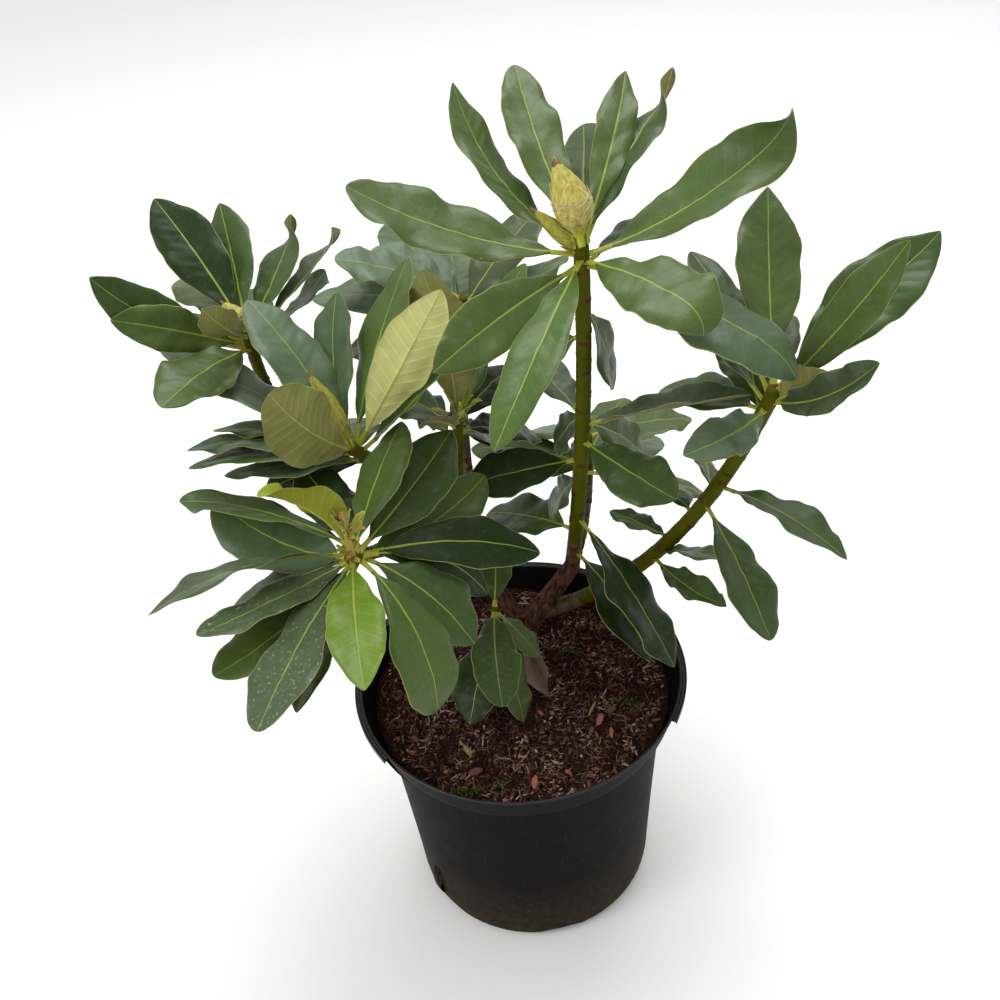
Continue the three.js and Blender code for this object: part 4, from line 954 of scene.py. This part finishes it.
# Each row is a leaf, from the tip of the stretch down: azimuth, rise, length, width, roll and what
# else differs. `dealt` adds leaves by a seeded rule on the sides that the rows leave open.
MASS = {
    "top_whorl": dict(limb="mainStem", start=0.7, end=1, seed=11, rows=[
        (82, 15, 110, 38, 20, dict(tone="deep")),
        (103, 32, 128, 32, -5, dict(arch=15, sweep=15, wave=1.8, tone="mid")),
        (69, 28, 128, 24, -25, dict(arch=20, sweep=-15, blunt=0.85, tone="mid")),
        (126, 34, 128, 30, -15, dict(arch=-30, sweep=30, quilt=0.6, wave=2, tone="mid")),
        (55, 24, 134, 30, 10, dict(curl=-60, tone="deep", tip_twist=150, fold=0.25)),
        (178, 22, 132, 44, 20, dict(arch=-25, sweep=5, wave=2.2, tone="mid", blunt=0.55, late=1.35)),
        (7, 27, 136, 44, -15,
         dict(arch=-30, curl=-30, sweep=-5, wave=1.5, tone="mid", tip_twist=-140, fold=0.3)),
        (246, -13, 148, 28, -5, dict(arch=40, sweep=15, tone="bright", twist=15, fold=0.12)),
        (305, 0, 100, 44, -15, dict(curl=90, wave=2.2, blunt=0.5, tone="mid", late=1.4)),
        (326, -16, 136, 44, -10, dict(curl=40, wave=1.4, blunt=0.55, fold=-0.12, tone="blue", late=1.35)),
        (216, -12, 108, 34, 50, dict(arch=15, quilt=0.3, tone="mid")), (40, 3, 95, 38, 15),
        (33, -72, 70, 34, -55, dict(down=44)), (145, -48, 58, 34, 40, dict(down=66))],
        dealt=dict(count=3, azimuths=(60, 170), rises=(-30, -5), lengths=(95, 120), width=40)),
    "main_stem_leaves": dict(limb="mainStem", start=0, end=0.54, seed=23, rows=[
        (131, -55, 48, 28, 55, dict(down=5)), (122, 15, 76, 40, -15, dict(down=9)),
        (35, -44, 75, 40, -45, dict(down=12)),
        (340, 18, 108, 36, 10, dict(down=14, arch=10, sweep=-10, fold=0.5, tone="dull")),
        (302, 2, 88, 36, -20, dict(down=27, arch=10, sweep=-15, blunt=0.55, tone="deep", wave=2.4, late=1.4)),
        (181, -8, 76, 44, 10, dict(down=44, arch=5, tone="shade", late=1.3)),
        (4, -21, 92, 36, 10, dict(down=56)),
        (144, -58, 50, 30, 35, dict(down=60)),
        (300, -31, 122, 44, 25, dict(down=97, tone="shade", wave=3.2)),
        (138, -14, 85, 44, 10, dict(down=111, tone="deep", blunt=0.6)),
        (298, -22, 98, 44, 15, dict(down=131, arch=30, sweep=10, tone="shade"))],
        dealt=dict(count=3, azimuths=(40, 150), rises=(-20, 0), lengths=(70, 90), width=38)),
    "hind_leaves": dict(limb="hindStem", start=0.55, end=1, seed=31, rows=[(15, -5, 80, 38, 0)],
        dealt=dict(count=6, azimuths=(20, 180), rises=(-25, 10), lengths=(70, 95), width=38)),
    "right_whorl": dict(limb="rightStem", start=0.9, end=1, seed=47, rows=[
        (82, 43, 124, 42, -15, dict(arch=10, sweep=5, wave=2, quilt=0.5, tone="mid", blunt=0.9)),
        (25, 29, 132, 44, -25, dict(arch=10, curl=-20, sweep=5, wave=2, quilt=0.45, blunt=0.8, tone="deep")),
        (336, 59, 118, 28, -60, dict(arch=-10, sweep=-5, tone="mid", fold=0.3)), (107, 27, 112, 32, -10),
        (298, 39, 96, 24, -70, dict(arch=-35, sweep=-15, fold=0.6, blunt=0.5, tone="dull")),
        (299, 37, 62, 28, 85, dict(arch=10, tone="olive")),
        (119, 26, 120, 36, -30, dict(arch=10, tone="blue", tip_twist=150)),
        (230, 15, 102, 26, 30, dict(arch=5, sweep=25, wave=2.6, tone="painted_sheen")),
        (126, -14, 84, 44, 5, dict(arch=15))],
        dealt=dict(count=2, azimuths=(70, 125), rises=(-15, 10), lengths=(80, 95), width=40)),
    "right_stem_leaves": dict(limb="rightStem", start=0.45, end=0.8, seed=53, rows=[
        (313, -7, 96, 34, 10, dict(down=14, arch=40, fold=0.3, blunt=0.85, tone="deep")),
        (85, 2, 42, 26, -45, dict(down=20)),
        (287, -28, 100, 40, 20, dict(down=30, sweep=0, wave=1.4, quilt=0.4, tone="deep", late=1.35)),
        (105, -11, 64, 34, -15, dict(down=44)), (130, -5, 56, 24, -10, dict(down=72, arch=0)),
        (312, 22, 56, 26, 15, dict(down=90)),
        (294, 12, 86, 24, -10, dict(down=96, arch=-15, sweep=-15, tone="olive", fold=0.5))],
        dealt=dict(count=3, azimuths=(70, 150), rises=(-20, 10), lengths=(65, 85), width=36)),
    "far_left_whorl": dict(limb="farLeftStem", start=0.86, end=1, seed=61, rows=[
        (102, 30, 100, 30, 20, dict(arch=10, tone="deep")),
        (128, 36, 110, 38, 15, dict(arch=20, sweep=0, quilt=0.4, tone="shade")),
        (72, 21, 98, 30, 10, dict(arch=5, curl=-60, sweep=-10, tone="deep", tip_twist=150)),
        (263, 41, 80, 24, -35, dict(arch=-20, tone="olive", blunt=1.0, fold=0.35, quilt=0.4)),
        (62, 11, 120, 24, 20, dict(arch=15, sweep=-25, tip_twist=90, fold=0.4, tone="dull", late=1.5)),
        (207, 41, 108, 32, 60, dict(arch=-40, sweep=-10, tone="deep")),
        (64, 3, 96, 20, 20, dict(arch=-5, sweep=-20, tip_twist=-90, tone="olive", late=1.5)),
        (214, 32, 92, 28, 70, dict(arch=5, sweep=-5)), (245, 8, 92, 42, 15)],
        dealt=dict(count=3, azimuths=(80, 160), rises=(-12, 12), lengths=(80, 100), width=38)),
    "left_whorl": dict(limb="leftStem", start=0.88, end=1, seed=71, rows=[
        (92, 40, 102, 32, 30, dict(arch=15, sweep=25, tone="blue")),
        (134, 44, 112, 42, -10, dict(arch=35, tone="painted_sheen", quilt=0.3)),
        (60, 45, 124, 44, 25, dict(tone="mid")),
        (0, 58, 120, 38, 85, dict(arch=-5, sweep=10, tone="khaki", quilt=0.45, wave=1.2)),
        (222, 53, 84, 46, -95, dict(arch=-30, sweep=10, wave=1.8, tone="olive", blunt=0.5, quilt=0.5)),
        (160, 28, 138, 40, -10, dict(arch=15, sweep=5, tone="painted_sheen", wave=1.8)),
        (9, 40, 108, 36, 5, dict(arch=5, sweep=-15, fold=0.4, tone="mid")),
        (172, 12, 94, 28, -15, dict(arch=35, tone="olive")), (165, -2, 110, 34, -25),
        (186, 13, 108, 36, -15, dict(arch=40, sweep=-5, tone="blue")),
        (193, 11, 108, 36, -15, dict(arch=35, sweep=-5)),
        (196, 9, 88, 34, -10, dict(down=18, arch=15, tone="blue")),
        (185, -10, 72, 34, 10, dict(down=22, arch=40, tone="shade"))],
        dealt=dict(count=3, azimuths=(80, 175), rises=(-35, -12), lengths=(75, 100), width=38)),
    "front_left_whorl": dict(limb="frontStem", start=0.8, end=1, seed=83, rows=[
        (180, 49, 70, 38, -60, dict(arch=70, tone="young", fold=0.5, tip_twist=70, wave=2.0)),
        (70, 20, 96, 36, 20, dict(arch=15, rolled=0.2, tone="mid")),
        (276, 1, 106, 32, 5, dict(sweep=-5, tone="fresh", fold=0.18, wave=1.2)),
        (59, 7, 116, 40, -25, dict(arch=0, sweep=-10, rolled=0.2, tone="deep")),
        (49, -8, 120, 36, -40, dict(arch=-30, sweep=-10, blunt=0.55, tone="mid")),
        (143, 0, 116, 44, 15, dict(arch=-45, sweep=10, blunt=0.5, tone="blue")),
        (301, -41, 108, 42, 15,
         dict(arch=55, curl=40, sweep=30, rolled=0.18, wave=1.6, tone="mid", late=1.7, blunt=0.6)),
        (221, -10, 104, 40, 0, dict(arch=-20, sweep=10, blunt=0.5, tone="mid", late=1.3)),
        (248, -5, 126, 40, -15, dict(blunt=0.5, tone="dusty", late=1.5)),
        (332, -34, 86, 44, -5, dict(arch=40, sweep=15, tone="deep", late=1.35)),
        (218, 5, 104, 38, -15, dict(arch=-5, blunt=0.5, tone="dusty")),
        (200, 3, 124, 40, -30, dict(arch=35, sweep=-25, blunt=1.1, twist=40, tone="dull")),
        (24, -41, 108, 30, -50, dict(down=9, arch=60, sweep=0, tone="shade")), (253, -8, 110, 34, -30),
        (157, 7, 130, 28, -20, dict(down=29, arch=45, sweep=5, tip_twist=100, tone="khaki")),
        (110, -2, 84, 28, -30, dict(arch=15)), (10, -14, 112, 34, -25, dict(down=16, arch=40, tone="shade")),
        (120, 15, 80, 34, 0, dict(down=24, tone="shade"))],
        dealt=dict(count=3, azimuths=(80, 200), rises=(-35, -12), lengths=(80, 100), width=40)),
    "middle_whorl": dict(limb="middleStem", start=0.8, end=1, seed=97, rows=[
        (155, 84, 108, 48, -85, dict(arch=15, tone="olive")), (61, -3, 85, 42, -5, dict(tone="shade")),
        (49, 45, 115, 42, 25), (240, 38, 46, 26, -30),
        (37, -28, 80, 38, -10, dict(curl=50, tone="shade")), (58, -42, 70, 34, -30, dict(tone="shade"))],
        dealt=dict(count=4, azimuths=(60, 190), rises=(-10, 40), lengths=(85, 110), width=40)),
    "back_whorl": dict(limb="backStem", start=0.85, end=1, seed=101, rows=[
        (187, 28, 88, 38, 15, dict(blunt=0.5, tone="painted_sheen")), (162, 31, 68, 38, 10, dict(tone="painted_sheen")),
        (188, 12, 98, 38, 10, dict(tone="painted_sheen"))],
        dealt=dict(count=8, azimuths=(10, 200), rises=(-25, 30), lengths=(85, 110), width=42)),
    "low_whorl": dict(limb="lowShoot", start=0.72, end=1, seed=113, rows=[
        (82, 35, 46, 24, 10),
        (270, -5, 84, 32, 5, dict(arch=40, sweep=-10, quilt=0.8, blunt=0.55, tone="deep")),
        (319, -34, 44, 28, 25), (249, -32, 80, 38, -10, dict(arch=35, tone="shade", late=1.3)),
        (280, -30, 80, 28, 40, dict(arch=50, tone="olive"))]),
}
CHECK_STEPS = [20, 27, 34, 41, 48]   # steps of a leaf's path that keep clear of the others
LIMB_CHECKS = 24
LEAF_CLEARANCE = 18
LIMB_CLEARANCE = 22
MOST_ATTEMPTS = 60
FREE_AT_TIP, FREE_IN_ALL = 4, 12     # of a stretch of limb, where no leaf is dealt
# what is added to a mass's seed, so that each use of it draws numbers of its own
RULE, STYLE, SHOOT_BARK = 1000, 3000, 7


def along_limb(limb, end, down):
    """The point `down` millimetres below the share `end` of a limb."""
    return limb_point(limb, end - down / limb_length(limb))


def row_leaf(mass, row, index, draw):
    """A row written out as a leaf, with its root on the mass's limb."""
    azimuth, rise, length, width, roll, *more = row
    sweep = (next(draw) - 0.5) * SWEEP_RANGE
    leaf = dict(arch=DEFAULT_ARCH, curl=0, sweep=sweep, down=1 + index * LEAF_SPACING)
    leaf.update(more[0] if more else {})
    leaf.update(azimuth=azimuth, rise=rise, length=length, width=width, roll=roll)
    leaf["root"] = along_limb(LIMB[mass["limb"]], mass["end"], leaf["down"])
    return leaf


def check_points(leaf):
    return leaf_path(leaf)[1][CHECK_STEPS]


def has_room(leaf, hub, other_hubs, leaf_points, limb_points):
    """A dealt leaf keeps to its own mass's space, and clear of every leaf and limb."""
    points = check_points(leaf)
    own = np.linalg.norm(points[-1] - hub)
    if any(np.linalg.norm(points[-1] - other) < own for other in other_hubs):
        return False
    nearest = [np.linalg.norm(np.asarray(group)[None] - points[:, None], axis=-1).min()
               for group in (leaf_points, limb_points)]
    return nearest[0] >= LEAF_CLEARANCE and nearest[1] >= LIMB_CLEARANCE


def dealt_row(mass, draw):
    """A row drawn by the seeded rule, anywhere along the mass's stretch of limb."""
    def between(low, high):
        return low + (high - low) * next(draw)

    dealt = mass["dealt"]
    stretch = limb_length(LIMB[mass["limb"]]) * (mass["end"] - mass["start"])
    down = FREE_AT_TIP + next(draw) * (stretch - FREE_IN_ALL)
    return (between(*dealt["azimuths"]), between(*dealt["rises"]), between(*dealt["lengths"]), dealt["width"],
            between(-15, 15), dict(down=down))


hubs = {name: limb_point(LIMB[mass["limb"]], mass["end"]) for name, mass in MASS.items()}
leaves = {}
for name, mass in MASS.items():
    draw = seeded(mass["seed"])
    leaves[name] = [row_leaf(mass, row, index, draw) for index, row in enumerate(mass["rows"])]
leaf_points = [point for group in leaves.values() for leaf in group for point in check_points(leaf)]
limb_points = [limb_point(limb, k / LIMB_CHECKS) for limb in LIMB.values() for k in range(LIMB_CHECKS + 1)]
for name, mass in MASS.items():
    if "dealt" not in mass:
        continue
    draw = seeded(mass["seed"] + RULE)
    placed = 0
    for _ in range(MOST_ATTEMPTS):
        if placed == mass["dealt"]["count"]:
            break
        leaf = row_leaf(mass, dealt_row(mass, draw), 0, draw)
        others = [hub for other, hub in hubs.items() if other != name]
        if has_room(leaf, hubs[name], others, leaf_points, limb_points):
            leaves[name].append(leaf)
            leaf_points.extend(check_points(leaf))
            placed += 1

for name, mass in MASS.items():
    blades = Heap()
    draw = seeded(mass["seed"] + STYLE)
    for leaf in leaves[name]:
        leaf_into(blades, leaf, draw)
    foliage = blades.piece(f"{name}_foliage", LEAF_FINISHES)
    limb, age = LIMB[mass["limb"]], AGE_OF_LIMB[mass["limb"]]
    skin, faces, finish = limb_skin(limb, mass["start"], mass["end"], age, mass["seed"] + SHOOT_BARK)
    shoot = mesh_piece(f"{name}_shoot", skin, faces, WOOD, finish)
    for piece in (foliage, shoot):
        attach(piece, "root")
        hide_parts(name)

# ---------------------------------------------------------------- buds
# Fat flower buds and slim leaf buds. Each is a spindle wrapped in tiers of broad khaki scales that
# end in a brown point, over a ring of narrow yellow-green bracts at its neck.

BUDS = {
    "top_whorl": [dict(down=1, azimuth=170, rise=75, length=50, width=21),
                  dict(down=9, azimuth=190, rise=50, length=42, width=12, fullness=0.68, green=True)],
    "far_left_whorl": [dict(down=1, azimuth=170, rise=60, length=24, width=12),
                       dict(down=13, azimuth=175, rise=25, length=34, width=9, green=True)],
    "left_whorl": [dict(down=1, azimuth=160, rise=70, length=56, width=12, green=True)],
    "middle_whorl": [dict(down=1, azimuth=110, rise=75, length=20, width=9)],
}
BUD_NECK = 0.16                  # share of the bud's length where its neck ends
BUD_BELLY = 0.48
BUD_FULLNESS = 0.9               # the spindle is slimmer than the bud by the scales that lie on it
SCALE, SCALE_TIP, SCALE_EDGE, BRACT, HAIR, GREEN_SCALE = range(6)
# where a tier of scales starts and ends along the bud, how many it has, how far they stand off
SCALE_TIERS = [(0.0, 0.31, 6, 1.5, BRACT), (0.12, 0.5, 3, 1.0, SCALE), (0.2, 0.74, 3, 0.65, SCALE),
               (0.34, 1.0, 3, 0.25, SCALE)]
SIZED_FOR = 20                   # width of the bud that the scales' and hairs' millimetres are for
SCALE_ROWS = 16
SCALE_COLUMNS = 13
SCALE_THICKNESS = 0.3
TIP_FROM = 0.87                  # share of a bud's length where its scales turn brown
HAIRS = 230
HAIR_RADII = [0.07, 0.12, 0.13, 0.12, 0.1, 0.05]
BUD_HAIRS = 4000                 # added to a mass's seed


def bud_radius(s, bud):
    """A narrow neck, a full belly and a beaked taper to the point."""
    full = bud["width"] / 2 * bud.get("fullness", BUD_FULLNESS)
    if s < BUD_BELLY:
        opening = math.pi / 2 * max(0, s - BUD_NECK) / (BUD_BELLY - BUD_NECK)
        return full * (0.42 + 0.58 * math.sin(opening) ** 0.9)
    late = (s - BUD_BELLY) / (1 - BUD_BELLY)
    return max(0.5, full * (1 - late ** 1.7) ** 1.1)


def bud_centre(bud, root, s):
    """The bud's axis, which bows a little to the plant's right."""
    straight = root + aimed(bud["azimuth"], bud["rise"]) * bud["length"] * s
    return straight + np.array([bud["width"] * 0.1 * math.sin(math.pi * s), 0, 0])


def bud_place(bud, root, s, angle, lift):
    """A point that stands off the bud's spindle by lift, at a share s of its length."""
    u = aimed(bud["azimuth"] + 90, 0)
    v = np.cross(aimed(bud["azimuth"], bud["rise"]), u)
    outward = u * math.cos(angle) + v * math.sin(angle)
    return bud_centre(bud, root, s) + outward * (bud_radius(s, bud) + lift)


def bud_scale(bud, root, tier, middle):
    """One scale: a patch with a pointed end that hugs the spindle, as points, faces and finishes."""
    low, high, count, stand_off, finish = tier
    slim = 0.7 if finish == BRACT else 1.3
    size = bud["width"] / SIZED_FOR
    skin_finish = GREEN_SCALE if "green" in bud else finish
    side_finish = GREEN_SCALE if "green" in bud else SCALE_EDGE
    outer, inner = [], []
    for i in range(SCALE_ROWS):
        share = i / (SCALE_ROWS - 1)
        s = low + (high - low) * share
        spread = slim * math.pi / count * (1 - share ** 2.2) ** 0.75 + 0.02
        for j in range(SCALE_COLUMNS):
            across = 2 * j / (SCALE_COLUMNS - 1) - 1
            angle = middle + spread * across
            keel = 0.35 * (1 - abs(across)) * math.sin(math.pi * share)
            crease = 0.12 * math.sin(11 * angle + 5 * share + 3 * middle) * math.sin(math.pi * share)
            free = 2.4 * share ** 3 if finish == BRACT else 0.5 * share ** 6 * (high < 1)
            lift = size * (stand_off + keel + crease + free)
            outer.append(bud_place(bud, root, s, angle, lift))
            inner.append(bud_place(bud, root, s, angle, lift - SCALE_THICKNESS * size))
    faces = [tuple(f) for f in grid_faces(SCALE_ROWS, SCALE_COLUMNS, closed=False)]
    skin = []
    for f in range(len(faces)):
        row, column = divmod(f, SCALE_COLUMNS - 1)
        on_edge = column in (0, SCALE_COLUMNS - 2) and skin_finish == SCALE
        at_tip = low + (high - low) * row / (SCALE_ROWS - 1) > TIP_FROM
        if finish == BRACT and row > SCALE_ROWS - 3:
            at_tip = True
        skin.append(SCALE_TIP if at_tip else SCALE_EDGE if on_edge else skin_finish)
    grid = np.arange(SCALE_ROWS * SCALE_COLUMNS).reshape(SCALE_ROWS, SCALE_COLUMNS)
    rim = [*grid[0], *grid[1:, -1], *grid[-1, -2::-1], *grid[-2:0:-1, 0]]
    sides = [(b, a, a + grid.size, b + grid.size) for a, b in zip(rim, rim[1:] + rim[:1])]
    shell = faces + [tuple(np.array(f[::-1]) + grid.size) for f in faces]
    return np.array(outer + inner), shell + sides, skin * 2 + [side_finish] * len(sides)


def bud_into(heap, bud, root, draw):
    """Adds one bud to a heap: its tiers of scales, the spindle inside them and the hairs."""
    for number, tier in enumerate(SCALE_TIERS):
        for k in range(tier[2]):
            heap.add(*bud_scale(bud, root, tier, 2 * math.pi * (k + 0.5 * number + 0.2) / tier[2]))
    turns = np.arange(20) * math.pi / 10
    shares = np.linspace(0, 0.98, 18)
    spindle = [np.array([bud_place(bud, root, s, turn, 0) for turn in turns]) for s in shares]
    body = GREEN_SCALE if "green" in bud else SCALE
    skin = [SCALE_TIP if s > TIP_FROM else body for s in shares[:-1] for _ in turns]
    heap.add(*swept(spindle), skin + [body, SCALE_TIP])
    if "green" in bud:
        return
    size = bud["width"] / SIZED_FOR
    for _ in range(int(HAIRS * size ** 2)):
        s, angle = 0.2 + 0.36 * next(draw), ANY_TURN * next(draw)
        rise, turn = 0.08 * (next(draw) - 0.3), 0.25 + 0.35 * next(draw)
        path = []
        for k in np.linspace(0, 1, len(HAIR_RADII)):
            lift = size * (1.3 + 0.5 * math.sin(math.pi * k))
            path.append(bud_place(bud, root, s + rise * k, angle + turn * k, lift))
        heap.add(*strand(path, HAIR_RADII, 3), HAIR)


def bud_finish(name, light, dark):
    """Papery and finely creased, paler and darker in streaks."""
    finish = Finish(name)
    streak = finish.between(finish.noise(2.2, 5, stretch=(1, 1, 2.5)), 0.3, 0.7)
    tone = finish.mix(dark, light, streak)
    return finish.close(tone, 0.5, finish.noise(0.6, 5), 0.3, shine=0.25)


BUD_FINISHES = [bud_finish("bud_scale", (0.6, 0.53, 0.12), (0.33, 0.28, 0.05)),
                bud_finish("bud_scale_tip", (0.3, 0.14, 0.05), (0.1, 0.035, 0.02)),
                bud_finish("bud_scale_edge", (0.66, 0.56, 0.24), (0.46, 0.37, 0.12)),
                bud_finish("bud_bract", (0.46, 0.5, 0.04), (0.32, 0.3, 0.03)),
                bud_finish("bud_hair", (0.85, 0.77, 0.5), (0.66, 0.56, 0.32)),
                bud_finish("leaf_bud_scale", (0.42, 0.4, 0.06), (0.25, 0.23, 0.03))]
for name, group in BUDS.items():
    buds = Heap()
    mass = MASS[name]
    draw = seeded(mass["seed"] + BUD_HAIRS)
    for bud in group:
        bud_into(buds, bud, along_limb(LIMB[mass["limb"]], mass["end"], bud["down"]), draw)
    piece = buds.piece(f"{name}_buds", BUD_FINISHES)
    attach(piece, "root")
    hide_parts(name)

# ---------------------------------------------------------------- sprouts
# New shoots stand on two of the stems' tips. Each is soft, rust coloured and downy, with small
# pointed leaves, not yet unrolled, that curve back at its top and stand in a ruff round its foot.

# a new shoot's direction, its length and radius, how many leaves stand at its top and in the ruff,
# their length, and the tones that they take in turn
SPROUTS = {
    "front_left_whorl": dict(azimuth=285, rise=80, length=27, radius=2.4, top=11, ruff=13, size=15,
                             tones=("sprout", "russet", "sprout", "young")),
    "middle_whorl": dict(azimuth=60, rise=80, length=9, radius=1.8, top=6, ruff=5, size=20,
                         tones=("young", "sprout", "young")),
}
SHOOT_TAPER = (1.2, 1.05, 0.95, 0.85, 0.5)
SPROUT_PLACES, SPROUT_STYLE = 2000, 3001   # added to a mass's seed


def young_leaf(root, azimuth, rise, length, tone, draw):
    """A small folded leaf with few veins."""
    width = length * (0.28 + 0.1 * next(draw))
    return dict(root=root, azimuth=azimuth, rise=rise, length=length, width=width,
                roll=50 * (next(draw) - 0.5), arch=-20, curl=60, sweep=0, tone=tone, quilt=0.05, wave=0.3,
                fold=0.5, pucker=0.2, blunt=1.0, vein_pairs=4)


def sprout_leaves(new_shoot, foot, tip, draw):
    """The small leaves at the top of a new shoot, then those of the ruff at its foot."""
    for k in range(new_shoot["top"]):
        length = new_shoot["size"] * (0.8 + 0.4 * next(draw))
        root = foot + (tip - foot) * (0.55 + 0.45 * next(draw))
        tone = new_shoot["tones"][k % len(new_shoot["tones"])]
        yield young_leaf(root, LEAF_TURN * k, 25 + 50 * next(draw), length, tone, draw)
    for k in range(new_shoot["ruff"]):
        length = new_shoot["size"] * (0.45 + 0.35 * next(draw))
        root = foot + (tip - foot) * 0.3 * next(draw)
        tone = new_shoot["tones"][(k + 1) % len(new_shoot["tones"])]
        yield young_leaf(root, LEAF_TURN * k + 60, 10 + 60 * next(draw), length, tone, draw)


for name, new_shoot in SPROUTS.items():
    sprouts = Heap()
    mass = MASS[name]
    foot = along_limb(LIMB[mass["limb"]], mass["end"], 1)
    tip = foot + aimed(new_shoot["azimuth"], new_shoot["rise"]) * new_shoot["length"]
    stem = [foot + (tip - foot) * k for k in np.linspace(0, 1, len(SHOOT_TAPER))]
    radii = [new_shoot["radius"] * k for k in SHOOT_TAPER]
    sprouts.add(*strand(stem, radii, 12), TONE_SURFACES * TONE_NAMES.index("sprout"))
    style = seeded(mass["seed"] + SPROUT_STYLE)
    for leaf in sprout_leaves(new_shoot, foot, tip, seeded(mass["seed"] + SPROUT_PLACES)):
        leaf_into(sprouts, leaf, style)
    piece = sprouts.piece(f"{name}_sprouts", LEAF_FINISHES)
    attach(piece, "root")
    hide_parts(name)

# ---------------------------------------------------------------- fallen leaf
# One dead leaf has dropped from the low shoot. It has dried pinkish brown, curled up along its
# midrib, and leans on the soil by its tip.

FALLEN_LEAF = dict(root=np.array([4.0, 28.0, 187.0]), azimuth=289, rise=-17, length=46, width=26, roll=-25,
                   arch=40, curl=-40, sweep=15, tone="dry", fold=1.2, wave=2.6, pucker=2.2, quilt=0.5,
                   blunt=0.8)
fallen = Heap()
leaf_into(fallen, FALLEN_LEAF, seeded(521))
fallen_leaf = fallen.piece("fallen_leaf", LEAF_FINISHES)
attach(fallen_leaf, "root")

# ---------------------------------------------------------------- studio
# A plain pale floor, a pale surround and soft light from above and from the left. The camera looks
# down at the front of the plant.

FLOOR_HALF = 12
FLOOR_COLOUR = (0.86, 0.86, 0.86)
FLOOR_ROUGHNESS = 0.9
SURROUND_STRENGTH = 0.86
# each lamp: place, size and power
LAMPS = {"overhead": ((0.3, 0.9, 2.4), 1.6, 36), "left": ((-1.8, -0.9, 1.6), 1.2, 20)}
LAMPS_FACE = (0, 0, 0.3)
CAMERA_PLACE = (0, -0.533, 0.749)
CAMERA_PITCH = 37.5
CAMERA_ROLL = -5.6
CAMERA_YAW = -0.2
LENS = 39.6
SENSOR = 36

floor_mesh = bpy.data.meshes.new("floor")
floor_corners = [(x * FLOOR_HALF, y * FLOOR_HALF, 0) for x, y in ((-1, -1), (1, -1), (1, 1), (-1, 1))]
floor_mesh.from_pydata(floor_corners, [], [(0, 1, 2, 3)])
floor_mesh.materials.append(Finish("pale_floor").close(FLOOR_COLOUR, FLOOR_ROUGHNESS))
floor = bpy.data.objects.new("floor", floor_mesh)
bpy.context.scene.collection.objects.link(floor)

world = bpy.data.worlds.new("pale_surround")
world.use_nodes = True
surround = world.node_tree.nodes["Background"].inputs
surround["Color"].default_value = (1, 1, 1, 1)
surround["Strength"].default_value = SURROUND_STRENGTH
bpy.context.scene.world = world


def soft_light(name, place, size, power):
    """A round lamp that faces the plant."""
    data = bpy.data.lights.new(name, "AREA")
    data.shape, data.size, data.energy = "DISK", size, power
    lamp = bpy.data.objects.new(name, data)
    lamp.location = place
    lamp.rotation_euler = (Vector(LAMPS_FACE) - Vector(place)).to_track_quat("-Z", "Y").to_euler()
    bpy.context.scene.collection.objects.link(lamp)


for name, lamp in LAMPS.items():
    soft_light(name, *lamp)

pitch, roll, yaw = (math.radians(a) for a in (CAMERA_PITCH, CAMERA_ROLL, CAMERA_YAW))
ahead = Vector((math.sin(yaw) * math.cos(pitch), math.cos(yaw) * math.cos(pitch), -math.sin(pitch)))
level = Vector((math.cos(yaw), -math.sin(yaw), 0))
upright = level.cross(ahead)
x_axis = level * math.cos(roll) + upright * math.sin(roll)
y_axis = upright * math.cos(roll) - level * math.sin(roll)
camera_data = bpy.data.cameras.new("camera")
camera_data.lens, camera_data.sensor_width = LENS, SENSOR
camera = bpy.data.objects.new("camera", camera_data)
matrix = camera.matrix_world.copy()
for axis, vector in enumerate((x_axis, y_axis, -ahead)):
    matrix.col[axis] = (*vector, 0)
matrix.col[3] = (*CAMERA_PLACE, 1)
camera.matrix_world = matrix
bpy.context.scene.collection.objects.link(camera)
bpy.context.scene.camera = camera
bpy.context.scene.view_settings.view_transform = "Standard"
